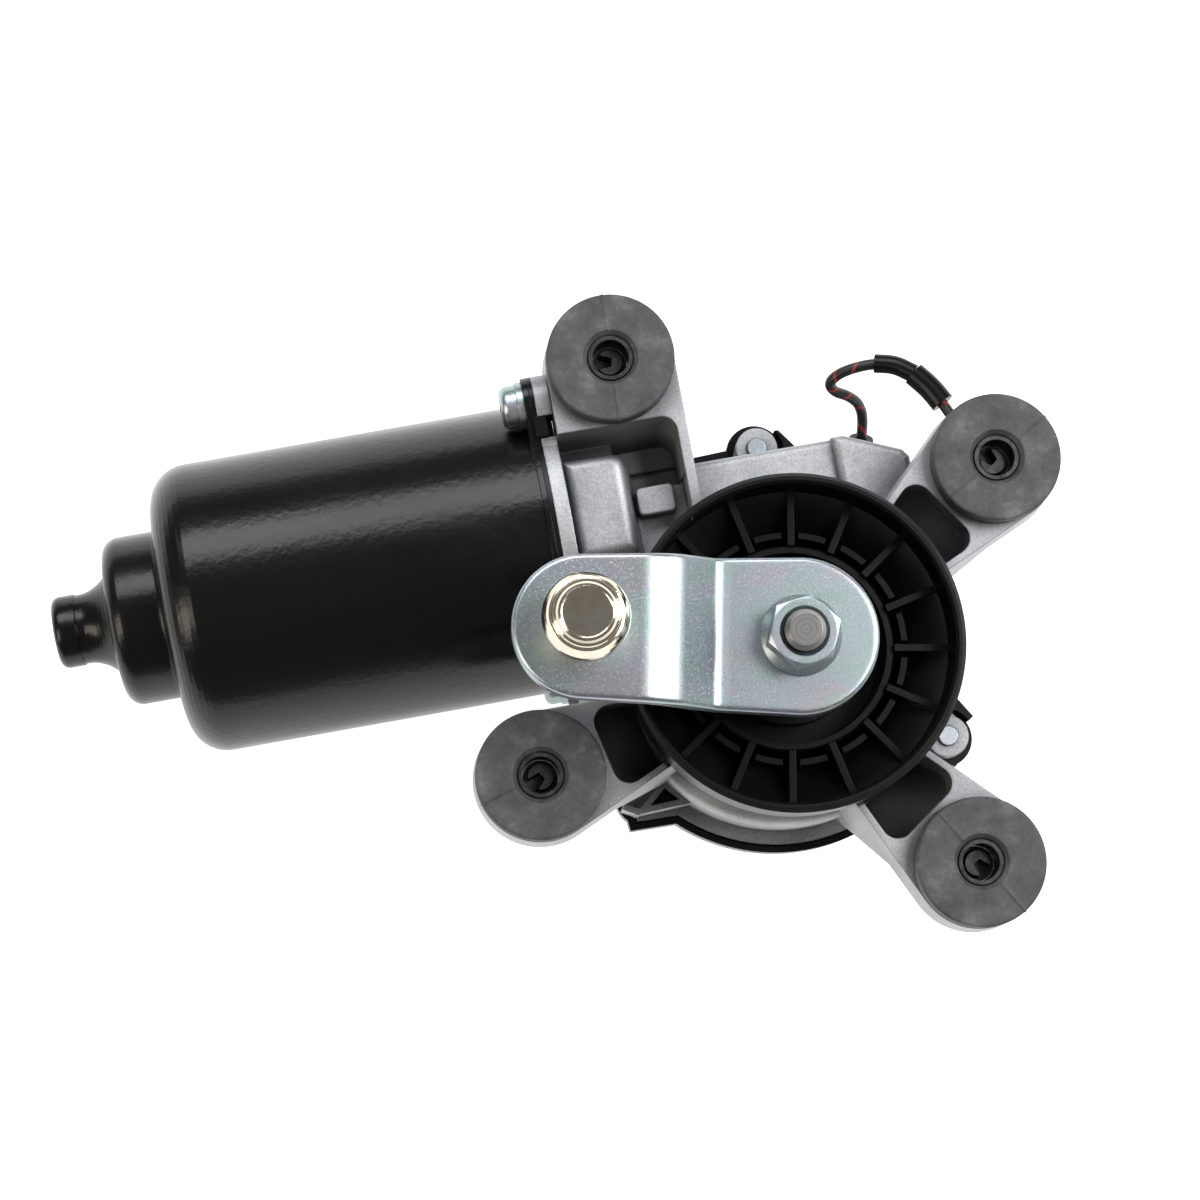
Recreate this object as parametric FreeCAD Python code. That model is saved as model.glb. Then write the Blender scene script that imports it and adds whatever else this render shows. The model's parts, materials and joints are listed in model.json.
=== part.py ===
"""Windscreen wiper motor with worm gearbox, crank arm and rubber-mounted housing.

Frame: origin on the output shaft's axis, in the plane of the four grommets' front faces.
+Z runs along the output shaft towards the crank, -X towards the closed end of the motor.
All sizes are in millimetres.
"""
import math
import os

import FreeCAD
import Part

Vec = FreeCAD.Vector

# ---- overall layout -----------------------------------------------------------------
motor_y = 31.5                 # motor axis, beside the output shaft
motor_z = -33.0                # motor axis, behind the mounting plane
joint_z = -43.0                # plane where the rear cover meets the housing
case_top_z = -23.0             # front of the round gear case
rest_z = -61.8                 # lowest plane, on which the part stands
fit_gap = 0.05                 # radial clearance of a running or location fit
part_gap = 0.3                 # air between neighbouring pieces

# ---- worm drive ---------------------------------------------------------------------
gear_module = 1.0
wheel_teeth = 53
worm_pitch_r = motor_y - gear_module * wheel_teeth / 2
tooth_addendum = 0.8
tooth_dedendum = 1.15
tooth_width = 1.15             # at the pitch line, both gears
wheel_width = 9.0
wheel_hub_r = 7.0
worm_turns = 7
wheel_pitch_r = gear_module * wheel_teeth / 2
worm_lead = math.pi * gear_module

# ---- motor --------------------------------------------------------------------------
yoke_r = 28.75
yoke_wall = 1.4
yoke_end_x = -116.5            # closed end face
shoulder_r = 7.5
boss_r = 16.75
boss_end_x = -127.7
boss_corner_r = 3.3
cone_r = 10.3
cone_length = 6.3
neck_r = 6.9
nipple_r = 7.15
nipple_end_x = -139.4
flange_r = 29.4
yoke_flange_x = -41.2          # motor side of the pressed flange
yoke_flange_t = 1.1
gasket_t = 0.9
plate_t = 2.9                  # aluminium flange of the housing
clamp_pcr = 33.5               # radius of the two clamping screws
clamp_angle = 42.0
ear_r = 5.2
rotor_shaft_r = 4.0
magnet_t = 5.6
magnet_x = (-108.0, -62.0)
core_r = 20.9
core_x = (-106.0, -68.0)
core_slots = 12
commutator_r = 10.0
commutator_x = (-60.0, -47.0)
brush_angles = (0.0, 120.0, 240.0)
bush_ball_r = 7.0

# ---- gear housing -------------------------------------------------------------------
case_r = 32.5
ledge_r = 35.2
ledge_t = 4.0
cavity_r = wheel_pitch_r + tooth_addendum + 1.0
cavity_top_z = -27.5
tunnel_r = 7.2
tunnel_edge_y = 41.3
block_end_x = 32.2
shaft_boss_r = 9.5
shaft_boss_top = 4.0
hub_r = 23.2                   # round neck between motor flange and gear case
mouth_r = 9.0                  # room round the shaft between motor and worm
brush_box = (-36.4, -24.4, 24.0, 43.8, -7.0)   # x from, x to, y from, y to, top
pocket_wall = 1.3
pocket_start = 0.8             # metal between the eye and the arm's pocket
pocket_floor = 2.0             # metal under the pocket's near end
block_r = 2.2                  # rounding of the brush block's front edges
draft = math.radians(3.0)
web_ribs = [((-34.8, -22.6), (-32.7, -23.8)), ((-32.7, -23.8), (-22.4, -23.4)),
            ((-26.6, -19.4), (-31.6, -23.6)), ((-26.6, -19.4), (-23.0, -23.2))]
web_rib_t = 1.2
web_rib_top = -30.0

# ---- mounting points: grommet centre, direction to the gear case, taper, arm length ----
grommets = [
    ((-23.7, 60.8), -90.0, 0.0, 30.0),
    ((45.5, 28.9), 214.5, 10.5, 25.0),
    ((-51.0, -15.4), 12.2, 12.2, 25.0),
    ((27.5, -46.2), 125.0, 10.0, 23.0),
]
grommet_r = 12.3
disc_t = 4.5
eye_t = 9.0
eye_hole_r = 8.0
grommet_back_r = 11.0
grommet_back_t = 4.5
collar_r = 4.25
collar_bore_r = 3.5
collar_sunk = 1.0
collar_end_z = -(disc_t + eye_t + grommet_back_t) - 0.4

# ---- output shaft, cup and crank ----------------------------------------------------
shaft_r = 5.0
bush_wall = 2.2
crank_under_z = 12.5
crank_t = 5.0
crank_rise = 8.0
crank_length = 40.0
crank_angle = 168.5
crank_hub_r = 14.6
crank_eye_r = 13.2
joggle_start = 15.7
joggle_run = 9.0
stud_thread_r = 4.0
nut_flats = 12.0
nut_flange_r = 7.5
nut_h = 7.3
shaft_tip_z = crank_under_z + crank_t + nut_h + 2.0
ball_r = 8.0
ball_height = 12.6             # ball centre above the crank's raised face
cup_r = 31.9
cup_rim_z = 8.5
cup_wall = 2.0
cup_floor_z = -2.0             # inside of the cup at its wall
cup_ribs = 16
cup_ring_r = 18.2
cup_ring_z = -2.4
rib_turn = -10.4               # direction of the first rib, in degrees
stud_rivet_r = 4.5

# ---- rear cover ---------------------------------------------------------------------
cover_t = 2.2
cover_skirt = 1.6
cover_depth = 8.0
seal_t = 0.8
lugs = [(4.8, 44.6), (31.7, -19.6), (-30.3, -20.6), (-18.5, 38.2)]
lug_r = 4.2
lug_front_z = -37.5
lug_screw_r = 1.9
socket_centre = (12.0, -12.0)
socket_size = (26.0, 16.0)
socket_wall = 1.8
pin_count = 5
cover_tabs = [                 # snap tabs and wider edges of the skirt
    [(-8.7, 41.0), (-8.7, 45.4), (-0.8, 45.7), (0.4, 48.0), (1.8, 47.2), (1.0, 41.0)],
    [(8.8, 41.0), (9.0, 48.2), (10.2, 48.0), (12.9, 44.2), (17.3, 44.1), (23.4, 42.2), (22.4, 40.0)],
    [(34.0, -12.0), (35.6, -12.4), (38.0, -16.4), (36.8, -17.2), (33.0, -16.0)],
    [(30.4, -23.0), (32.4, -25.8), (33.6, -24.8), (32.6, -21.4)],
]

# ---- earth lead ---------------------------------------------------------------------
lead_r = 1.1
seal_back_r = 3.3
seal_front_r = 2.5
seal_length = 4.5
sleeve_r = 1.9
terminal_r = 5.6
terminal_t = 0.8
lead_route = [
    (26.6, 43.4, -41.0), (27.4, 46.6, -38.4), (26.8, 49.6, -35.4), (24.4, 51.2, -32.4),
    (21.6, 52.0, -30.4), (20.4, 53.6, -28.6), (22.4, 54.9, -27.2), (25.8, 55.4, -26.0),
    (29.8, 55.3, -24.8), (33.6, 54.2, -23.8), (36.8, 51.6, -23.2), (39.4, 48.2, -22.8),
    (41.2, 44.6, -22.4), (42.6, 40.8, -21.6),
]


# ---- helpers ------------------------------------------------------------------------
def box(x0, x1, y0, y1, z0, z1):
    return Part.makeBox(x1 - x0, y1 - y0, z1 - z0, Vec(x0, y0, z0))


def rod(r, z0, z1, x=0.0, y=0.0):
    return Part.makeCylinder(r, z1 - z0, Vec(x, y, z0), Vec(0, 0, 1))


def rod_x(r, x0, x1, y=motor_y, z=motor_z):
    return Part.makeCylinder(r, x1 - x0, Vec(x0, y, z), Vec(1, 0, 0))


def tube(outer, inner, z0, z1, x=0.0, y=0.0):
    return rod(outer, z0, z1, x, y).cut(rod(inner, z0 - 1, z1 + 1, x, y))


def tube_x(outer, inner, x0, x1, y=motor_y, z=motor_z):
    return rod_x(outer, x0, x1, y, z).cut(rod_x(inner, x0 - 1, x1 + 1, y, z))


def wire(points):
    return Part.makePolygon([Vec(*p) for p in points] + [Vec(*points[0])])


def prism(points, z0, z1):
    """Straight-sided solid over a plan outline."""
    return Part.Face(wire([(x, y, z0) for x, y in points])).extrude(Vec(0, 0, z1 - z0))


def side_prism(points, x0, x1):
    """Solid of a Y-Z outline, carried along X."""
    return Part.Face(wire([(x0, y, z) for y, z in points])).extrude(Vec(x1 - x0, 0, 0))


def spun_z(points, x=0.0, y=0.0):
    """Solid of revolution about a line parallel to Z, from (radius, z) points."""
    face = Part.Face(wire([(x + r, y, z) for r, z in points]))
    return face.revolve(Vec(x, y, 0), Vec(0, 0, 1), 360)


def spun_x(points):
    """Solid of revolution about the motor axis, from (x, radius) points."""
    face = Part.Face(wire([(x, motor_y + r, motor_z) for x, r in points]))
    return face.revolve(Vec(0, motor_y, motor_z), Vec(1, 0, 0), 360)


def arc_points(cx, cy, r, a0, a1, steps=8):
    """Points along an arc, angles in degrees."""
    angles = [math.radians(a0 + (a1 - a0) * i / steps) for i in range(steps + 1)]
    return [(cx + r * math.cos(a), cy + r * math.sin(a)) for a in angles]


def fused(shapes):
    return shapes[0].multiFuse(shapes[1:]).removeSplitter()


def hull_wire(p, rp, q, rq, z):
    """Outline round two circles: two tangent lines and two arcs."""
    along = math.atan2(q[1] - p[1], q[0] - p[0])
    lean = math.acos((rp - rq) / math.hypot(q[0] - p[0], q[1] - p[1]))

    def on(c, r, a):
        return Vec(c[0] + r * math.cos(a), c[1] + r * math.sin(a), z)

    left, right = along + lean, along - lean
    edges = [
        Part.Arc(on(p, rp, left), on(p, rp, along + math.pi), on(p, rp, right)).toShape(),
        Part.LineSegment(on(p, rp, right), on(q, rq, right)).toShape(),
        Part.Arc(on(q, rq, right), on(q, rq, along), on(q, rq, left)).toShape(),
        Part.LineSegment(on(q, rq, left), on(p, rp, left)).toShape(),
    ]
    return Part.Wire(edges)


def hull(p, rp, q, rq, z0, z1):
    return Part.Face(hull_wire(p, rp, q, rq, z0)).extrude(Vec(0, 0, z1 - z0))


def polar(r, degrees, origin=(0.0, 0.0)):
    a = math.radians(degrees)
    return (origin[0] + r * math.cos(a), origin[1] + r * math.sin(a))


def turned(shape, degrees):
    """Copy of a shape, turned about the output shaft's axis."""
    placed = shape.copy()
    placed.rotate(Vec(0, 0, 0), Vec(0, 0, 1), degrees)
    return placed


def clamp_points():
    """Centres of the two clamping screws in the Y-Z plane."""
    dy = clamp_pcr * math.cos(math.radians(clamp_angle))
    dz = clamp_pcr * math.sin(math.radians(clamp_angle))
    return [(motor_y + dy, motor_z + dz), (motor_y - dy, motor_z - dz)]


def flange_plate(x0, x1, radius):
    """Round flange with two screw ears, flat where the part stands."""
    pieces = [rod_x(radius, x0, x1)]
    for y, z in clamp_points():
        ear = Part.Face(hull_wire((y, z), ear_r, (motor_y, motor_z), radius * 0.62, 0))
        ear = ear.extrude(Vec(0, 0, x1 - x0))
        ear.rotate(Vec(0, 0, 0), Vec(1, 1, 1), 120)     # x, y, z become y, z, x
        ear.translate(Vec(x0, 0, 0))
        pieces.append(ear)
    plate = fused(pieces)
    return plate.cut(box(x0 - 1, x1 + 1, -60, 120, -120, rest_z))


# ---- motor --------------------------------------------------------------------------
def casing_profile(inset):
    """Half outline of the drawn casing as (x, radius), moved inwards by inset."""
    end = yoke_end_x + inset
    corner = shoulder_r - inset
    body = yoke_r - inset
    boss = boss_r - inset
    boss_end = boss_end_x + inset
    boss_corner = boss_corner_r - inset * 0.7
    neck = neck_r - inset
    tip = nipple_end_x + inset
    points = arc_points(end + corner, body - corner, corner, 90, 180, 10)
    points += arc_points(end - 1.2, boss + 1.2, 1.2, 0, -90, 5)
    points += arc_points(boss_end + boss_corner, boss - boss_corner, boss_corner, 90, 180, 8)
    steps = 8
    for i in range(steps + 1):
        t = i / steps
        radius = neck + (cone_r - inset - neck) * (1 - t) ** 2
        points.append((boss_end - cone_length * t - 0.001, radius))
    rounding = 1.6
    points += arc_points(boss_end - cone_length - 0.9, nipple_r - inset - 0.25, 0.25, 0, 90, 3)
    points += arc_points(tip + rounding, nipple_r - inset - rounding, rounding, 90, 180, 6)
    return points


def casing_solid(inset, open_x):
    points = casing_profile(inset)
    closing = [(points[-1][0], 0.0), (open_x, 0.0), (open_x, yoke_r - inset)]
    return spun_x(points + closing)


def motor_casing():
    outer = casing_solid(0.0, yoke_flange_x + yoke_flange_t)
    flange = flange_plate(yoke_flange_x, yoke_flange_x + yoke_flange_t, flange_r)
    shell = outer.fuse(flange).cut(casing_solid(yoke_wall, yoke_flange_x + 5))
    for y, z in clamp_points():
        shell = shell.cut(rod_x(2.3, yoke_flange_x - 1, yoke_flange_x + 3, y, z))
    return shell.removeSplitter()


def magnets():
    outer = yoke_r - yoke_wall - fit_gap
    ring = tube_x(outer, outer - magnet_t, *magnet_x)
    x0, x1 = magnet_x
    gap = 9.0
    for turn in (0, 90):
        slot = box(x0 - 1, x1 + 1, -40, 40, -gap / 2, gap / 2)
        slot.rotate(Vec(0, 0, 0), Vec(1, 0, 0), turn + 45)
        slot.translate(Vec(0, motor_y, motor_z))
        ring = ring.cut(slot)
    return ring


def rear_bush():
    """Self-aligning sintered bush: a ball with its ends cut flat."""
    x = yoke_end_x - 3.8
    side = math.degrees(math.acos(4.5 / bush_ball_r))
    outer = [(x + px, py) for px, py in arc_points(0, 0, bush_ball_r, side, 180 - side, 10)]
    bore = rotor_shaft_r + fit_gap
    return spun_x(outer + [(x - 4.5, bore), (x + 4.5, bore)])


def bush_retainer():
    """Sheet ring pressed into the casing's boss, holding the bush by its shoulder."""
    x = yoke_end_x - 3.8
    outer = boss_r - yoke_wall - fit_gap
    seat = 6.3
    lip = [(x + 1.2, outer - 1.1), (x + 4.6, outer - 1.1), (x + 4.6, outer), (x + 0.2, outer),
           (x + 0.2, 9.0), (x + 2.6, seat + 0.7), (x + 3.3, seat + 0.4),
           (x + 4.0, seat + 0.4), (x + 4.0, seat + 1.4), (x + 1.2, 9.6)]
    return spun_x(lip)


def brush_holder():
    """Moulded ring inside the casing mouth, with three brush guides."""
    x0, x1 = commutator_x[1] - 4.5, commutator_x[1] - 2.0
    outer = yoke_r - yoke_wall - fit_gap
    pieces = [tube_x(outer, commutator_r + 3.0, x0, x1), tube_x(outer, outer - 1.6, x0, x1 + 5.0)]
    for angle in brush_angles:
        guide = box(commutator_r + 1.2, outer - 2.6, -3.6, 3.6, -9.2, 0.0)
        pieces.append(turned_brush(guide, angle))
    holder = fused(pieces)
    for angle in brush_angles:
        slot = box(commutator_r, outer - 3.4, -2.55, 2.55, -8.1, -1.4)
        holder = holder.cut(turned_brush(slot, angle))
    return holder


def turned_brush(shape, angle):
    """Turn a shape laid out as (radius, width, along the shaft) to its place."""
    placed = shape.copy()
    placed.rotate(Vec(0, 0, 0), Vec(1, 1, 1), 120)      # radius to Y, width to Z, depth to X
    placed.translate(Vec(commutator_x[1] - 2.0, 0, 0))
    placed.rotate(Vec(0, 0, 0), Vec(1, 0, 0), angle + 30)
    placed.translate(Vec(0, motor_y, motor_z))
    return placed


def brushes():
    blocks = []
    for angle in brush_angles:
        block = box(commutator_r + part_gap, commutator_r + 9.3, -2.4, 2.4, -7.9, -1.6)
        blocks.append(turned_brush(block, angle))
    return Part.makeCompound(blocks)


def brush_springs():
    """Flat wound springs between each brush and the end of its guide."""
    springs = []
    start = commutator_r + 9.3
    end = yoke_r - yoke_wall - fit_gap - 3.4
    for angle in brush_angles:
        coils = [tube(1.9, 1.2, start + 0.001 + i, start + 0.55 + i) for i in range(int(end - start))]
        coils.append(rod(0.9, start + 0.001, end - 0.001))
        link = box(-1.5, 1.5, -0.3, 0.3, start + 0.001, end - 0.001)
        coil = fused(coils + [link])
        coil.rotate(Vec(0, 0, 0), Vec(0, 1, 0), 90)
        coil.translate(Vec(0, 0, -4.75))
        springs.append(turned_brush(coil, angle))
    return Part.makeCompound(springs)


def flange_gasket():
    """Black moulded plate between casing and housing, with a tab in the flange's notch."""
    x0 = yoke_flange_x + yoke_flange_t
    x1 = x0 + gasket_t
    plate = flange_plate(x0, x1, flange_r)
    plate = plate.cut(rod_x(yoke_r - yoke_wall, x0 - 1, x1 + 1))
    for y, z in clamp_points():
        plate = plate.cut(rod_x(2.3, x0 - 1, x1 + 1, y, z))
    y0, y1, z0, z1 = notch_box()
    tab = box(x1 - 0.2, x1 + 1.5, y0 + 0.2, y1 - 0.2, z0 + 0.2, z1)
    neck = box(x0, x1, y0 + 0.2, y1 - 0.2, z0 - 6.0, z1)
    return plate.fuse(tab).fuse(neck).removeSplitter()


def notch_box():
    """Y and Z limits of the notch in the housing flange."""
    return (48.9, 53.0, -14.0, -6.2)


def clamp_screws():
    """Pan-head screws with washers, one through each ear."""
    screws = []
    for y, z in clamp_points():
        head_x = yoke_flange_x - 1.3
        washer = tube_x(4.6, 2.05, head_x, yoke_flange_x, y, z)
        head = rod_x(4.2, head_x - 3.3, head_x, y, z)
        rim = [e for e in head.Edges if abs(e.BoundBox.XMax - (head_x - 3.3)) < 0.01]
        head = head.makeFillet(1.6, [e for e in rim if e.BoundBox.YLength > 1])
        shank = rod_x(2.05, head_x, housing_face_x() + plate_t - 0.2, y, z)
        cross = [box(head_x - 3.4, head_x - 1.7, y - 2.3, y + 2.3, z - 0.5, z + 0.5),
                 box(head_x - 3.4, head_x - 1.7, y - 0.5, y + 0.5, z - 2.3, z + 2.3)]
        screw = head.fuse(shank).fuse(washer)
        screws.append(screw.cut(cross[0]).cut(cross[1]).removeSplitter())
    return Part.makeCompound(screws)


def housing_face_x():
    return yoke_flange_x + yoke_flange_t + gasket_t


# ---- armature -----------------------------------------------------------------------
def worm_thread():
    """One-start right-hand thread of trapezoid section along the motor axis."""
    start = -(worm_turns // 2 + 0.25) * worm_lead
    root = worm_pitch_r - tooth_dedendum - 0.15
    tip = worm_pitch_r + tooth_addendum
    half_root = tooth_width / 2 + 0.42
    half_tip = tooth_width / 2 - 0.29
    helix = Part.makeLongHelix(worm_lead, worm_turns * worm_lead, worm_pitch_r)
    section = Part.makePolygon([
        Vec(root, 0, -half_root), Vec(tip, 0, -half_tip), Vec(tip, 0, half_tip),
        Vec(root, 0, half_root), Vec(root, 0, -half_root)])
    thread = helix.makePipeShell([section], True, True)
    thread.rotate(Vec(0, 0, 0), Vec(0, 1, 0), 90)
    thread.translate(Vec(start, motor_y, motor_z))
    return thread


def armature_shaft():
    root = worm_pitch_r - tooth_dedendum
    half = worm_turns * worm_lead / 2 + 1.5
    front = block_end_x - 8.0
    rear = yoke_end_x - 16.0
    core = spun_x([(rear, 0), (rear, rotor_shaft_r), (-half, rotor_shaft_r), (-half, root), (half, root),
                   (half, rotor_shaft_r), (front, rotor_shaft_r), (front, 0)])
    return core.fuse(worm_thread())


def armature_core():
    """Stack of laminations with slots for the coils."""
    x0, x1 = core_x
    core = rod_x(core_r, x0, x1)
    cuts = [rod_x(rotor_shaft_r + 0.01, x0 - 1, x1 + 1)]
    for i in range(core_slots):
        slot = fused([box(x0 - 1, x1 + 1, 10.5, 18.4, -2.2, 2.2), box(x0 - 1, x1 + 1, 18.0, 22.5, -0.9, 0.9)])
        slot.rotate(Vec(0, 0, 0), Vec(1, 0, 0), 360.0 * i / core_slots)
        slot.translate(Vec(0, motor_y, motor_z))
        cuts.append(slot)
    return core.cut(Part.makeCompound(cuts))


def armature_windings():
    """Coil sides in the slots, joined by the two end turns."""
    x0, x1 = core_x
    ends = []
    for a, b in ((x0 - 6.5, x0 - 0.2), (x1 + 0.2, x1 + 6.5)):
        ring = tube_x(18.0, 7.0, a, b)
        ring = ring.makeFillet(2.0, [e for e in ring.Edges if e.Curve.TypeId == "Part::GeomCircle"
                                     and e.Curve.Radius > 17])
        ends.append(ring)
    sides = []
    for i in range(core_slots):
        side = box(x0 - 1.0, x1 + 1.0, 11.0, 17.6, -1.9, 1.9)
        side.rotate(Vec(0, 0, 0), Vec(1, 0, 0), 360.0 * i / core_slots)
        side.translate(Vec(0, motor_y, motor_z))
        sides.append(side)
    return fused(ends + sides)


def commutator():
    x0, x1 = commutator_x
    drum = tube_x(commutator_r, rotor_shaft_r + 0.01, x0, x1)
    riser = tube_x(commutator_r + 1.2, commutator_r - 0.5, x0, x0 + 1.4)
    drum = drum.fuse(riser)
    cuts = []
    for i in range(core_slots):
        slot = box(x0 - 0.1, x1 + 0.1, commutator_r - 1.0, commutator_r + 2, -0.25, 0.25)
        slot.rotate(Vec(0, 0, 0), Vec(1, 0, 0), 360.0 * (i + 0.5) / core_slots)
        slot.translate(Vec(0, motor_y, motor_z))
        cuts.append(slot)
    return drum.cut(Part.makeCompound(cuts))


# ---- gear housing -------------------------------------------------------------------
def sink_box(angle, start, top, slope_start, low, run, origin):
    """Everything under a line that stays level and then falls towards the gear case."""
    reach, depth, half = 60.0, 80.0, 30.0
    points = [(-reach, top), (slope_start, top), (slope_start + run, low),
              (slope_start + run + reach, low), (slope_start + run + reach, top - depth),
              (-reach, top - depth)]
    face = Part.Face(wire([(u + start, -half, z) for u, z in points]))
    solid = face.extrude(Vec(0, 2 * half, 0))
    solid.rotate(Vec(0, 0, 0), Vec(0, 0, 1), angle)
    solid.translate(Vec(origin[0], origin[1], 0))
    return solid


def arm_outline(centre, angle, taper, length, inset, z):
    radius = grommet_r + 0.1 - inset
    far = polar(length, angle, centre)
    far_r = radius - length * math.sin(math.radians(taper))
    return hull_wire(centre, radius, far, far_r + 1e-4, z)


def arm_solid(centre, angle, taper, length):
    """Tapering arm with draft, thin at the eye and deep at the gear case."""
    front, low = -disc_t, case_top_z - 12.0
    spread = (front - low) * math.tan(draft)
    top = arm_outline(centre, angle, taper, length, 0.0, front)
    bottom = arm_outline(centre, angle, taper, length, -spread, low)
    body = Part.makeLoft([top, bottom], True, True)
    under = sink_box(angle, 0.0, -(disc_t + eye_t), grommet_r - 1.0, low, length - 8.0, centre)
    return body.cut(under)


def arm_pocket(centre, angle, taper, length):
    """Deep rounded hollow between the eye and the gear case."""
    front, deepest = -disc_t + 1.0, -25.0
    near = grommet_r + pocket_start
    start = -(disc_t + eye_t) + pocket_floor
    outline = arm_outline(centre, angle, taper, length + 6.0, pocket_wall, front)
    block = Part.Face(outline).extrude(Vec(0, 0, deepest - front))
    keep = box(near, length + 30, -30, 30, -60, 20)
    keep.rotate(Vec(0, 0, 0), Vec(0, 0, 1), angle)
    keep.translate(Vec(centre[0], centre[1], 0))
    block = block.common(keep)
    block = block.cut(sink_box(angle, 0.0, start, near, deepest, length - 14.0, centre))
    corners = [e for e in block.Edges if e.BoundBox.XLength < 0.01 and e.BoundBox.YLength < 0.01]
    return block.makeFillet(3.2, near_edges(corners, centre, near + 8.0))


def near_edges(edges, centre, reach):
    return [e for e in edges
            if math.hypot(e.CenterOfMass.x - centre[0], e.CenterOfMass.y - centre[1]) < reach]


def eye_cut(centre):
    """Hole for the grommet's waist and the room behind the eye for its back."""
    back = -(disc_t + eye_t)
    hole = rod(eye_hole_r, back - 1, 1, *centre)
    return hole.fuse(rod(grommet_back_r + 0.4, back - grommet_back_t - 1.4, back, *centre))


def rear_outline(grow, z0, z1):
    """Joint outline of the gear case: round case, worm tunnel, lugs and the arm's web."""
    pieces = [rod(ledge_r + grow, z0, z1)]
    top = tunnel_edge_y + 0.9 + grow
    end = block_end_x + grow
    pieces.append(prism([(-22.0 - grow, 0), (end - 4, 0), (end, 6), (end, 35.0), (end - 1.2, 37.4 + grow),
                         (20.0, top), (-22.0 - grow, top)], z0, z1))
    web = [(-32.6 - grow, -25.2 - grow), (-24.0, -25.4 - grow), (-10.0, -28.0), (-20.0, 0.0),
           (-33.0 - grow, 0.0), (-34.4 - grow, -12.0)]
    pieces.append(prism(web, z0, z1))
    for centre in lugs:
        inner = (centre[0] * 0.72, centre[1] * 0.72)
        pieces.append(hull(centre, lug_r + grow, inner, lug_r + 4.0 + grow, z0, z1))
    return fused(pieces)


def cup_room():
    """Clear space that the housing leaves round the dust cup."""
    gap = 0.8
    return spun_z([(0, cup_rim_z + 20), (cup_r + gap, cup_rim_z + 20), (cup_r + gap, cup_floor_z - 2.4),
                   (cup_ring_r + 1.5 + gap, cup_floor_z - 8.6), (cup_ring_r + 1.5 + gap, -16.5),
                   (0, -16.5)])


def brush_tower():
    """Rounded block over the brush gear, with a leaning side towards the arm's pocket."""
    x0, x1, y0, y1, top = brush_box
    tower = box(x0, x1, y0, y1, joint_z + 6, top)
    corner = [e for e in tower.Edges if e.BoundBox.XMin > x1 - 0.1 and e.BoundBox.YMin > y1 - 0.1]
    tower = tower.makeFillet(block_r + 0.6, corner)
    tower = tower.makeFillet(block_r, [e for e in tower.Edges if e.BoundBox.ZMin > top - 0.1])
    lean = Part.Face(wire([(x1 - 3, y0, top - block_r), (x1, y0, top - block_r), (x1 + 1.4, y0, -16.5),
                           (x1 - 3, y0, -16.5)])).extrude(Vec(0, y1 - y0 - block_r - 0.6, 0))
    hub = rod_x(hub_r, x0, x1 - 1.5)
    return fused([tower, lean, hub.cut(box(x0 - 1, x1, -hub_r, 80, -80, joint_z))])


def rounded_outline(x0, x1, y0, y1, r, z):
    """Rectangle with its two corners on the +Y side rounded."""
    s = r * math.sqrt(0.5)
    left, right = Vec(x0 + r, y1 - r, z), Vec(x1 - r, y1 - r, z)
    return Part.Wire([
        Part.LineSegment(Vec(x0, y0, z), Vec(x0, y1 - r, z)).toShape(),
        Part.Arc(Vec(x0, y1 - r, z), left + Vec(-s, s, 0), Vec(x0 + r, y1, z)).toShape(),
        Part.LineSegment(Vec(x0 + r, y1, z), Vec(x1 - r, y1, z)).toShape(),
        Part.Arc(Vec(x1 - r, y1, z), right + Vec(s, s, 0), Vec(x1, y1 - r, z)).toShape(),
        Part.LineSegment(Vec(x1, y1 - r, z), Vec(x1, y0, z)).toShape(),
        Part.LineSegment(Vec(x1, y0, z), Vec(x0, y0, z)).toShape(),
    ])


def leaning_pocket(x0, x1, y0, y1, floor, lean):
    """Pocket whose far wall and sides lean inwards on the way down."""
    top = rounded_outline(x0, x1, y0, y1, 3.0, -disc_t + 0.5)
    bottom = rounded_outline(x0 + lean * 0.2, x1 - lean * 0.2, y0, y1 - lean, 3.0, floor)
    return Part.makeLoft([top, bottom], True, True)


def north_arm():
    """Arm of the first grommet, which grows out of the motor flange and the worm tunnel."""
    centre, angle, taper, length = grommets[0]
    right = centre[0] + grommet_r - 0.5
    inner = right - 1.3
    block_top = brush_box[3]
    body = arm_solid(centre, angle, taper, length)
    foot = box(brush_box[0], right - 0.2, 20.0, 50.0, joint_z + ledge_t, -16.0)
    pad = box(-22.9, -15.5, 31.3, 36.8, -16.5, -12.0)
    pad = pad.makeFillet(1.0, [e for e in pad.Edges if e.BoundBox.ZLength > 4])
    pad = pad.makeFillet(0.4, [e for e in pad.Edges if e.BoundBox.ZMin > -12.1])
    rib = side_prism([(57.0, -disc_t), (40.0, -disc_t - 1.0), (30.6, -disc_t - 4.0),
                      (28.5, -20.0), (57.0, -20.0)], inner, right)
    pocket = leaning_pocket(brush_box[0] - 3.5, inner, block_top - 7, block_top + 4.9, -22.0, 3.0)
    low_room = box(brush_box[0] - 3.5, inner, 10.0, block_top - 6.5, -16.0, 0)
    body = body.cut(pocket).cut(low_room)
    return [body, foot.cut(pocket), pad, rib]


def web_walls():
    """Thin ribs between the third arm and the gear case."""
    walls = []
    for (xa, ya), (xb, yb) in web_ribs:
        run = math.hypot(xb - xa, yb - ya)
        wall = box(-web_rib_t / 2, run + web_rib_t / 2, -web_rib_t / 2, web_rib_t / 2, joint_z + 3.0,
                   web_rib_top)
        wall.rotate(Vec(0, 0, 0), Vec(0, 0, 1), math.degrees(math.atan2(yb - ya, xb - xa)))
        wall.translate(Vec(xa, ya, 0))
        walls.append(wall)
    return walls


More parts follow.
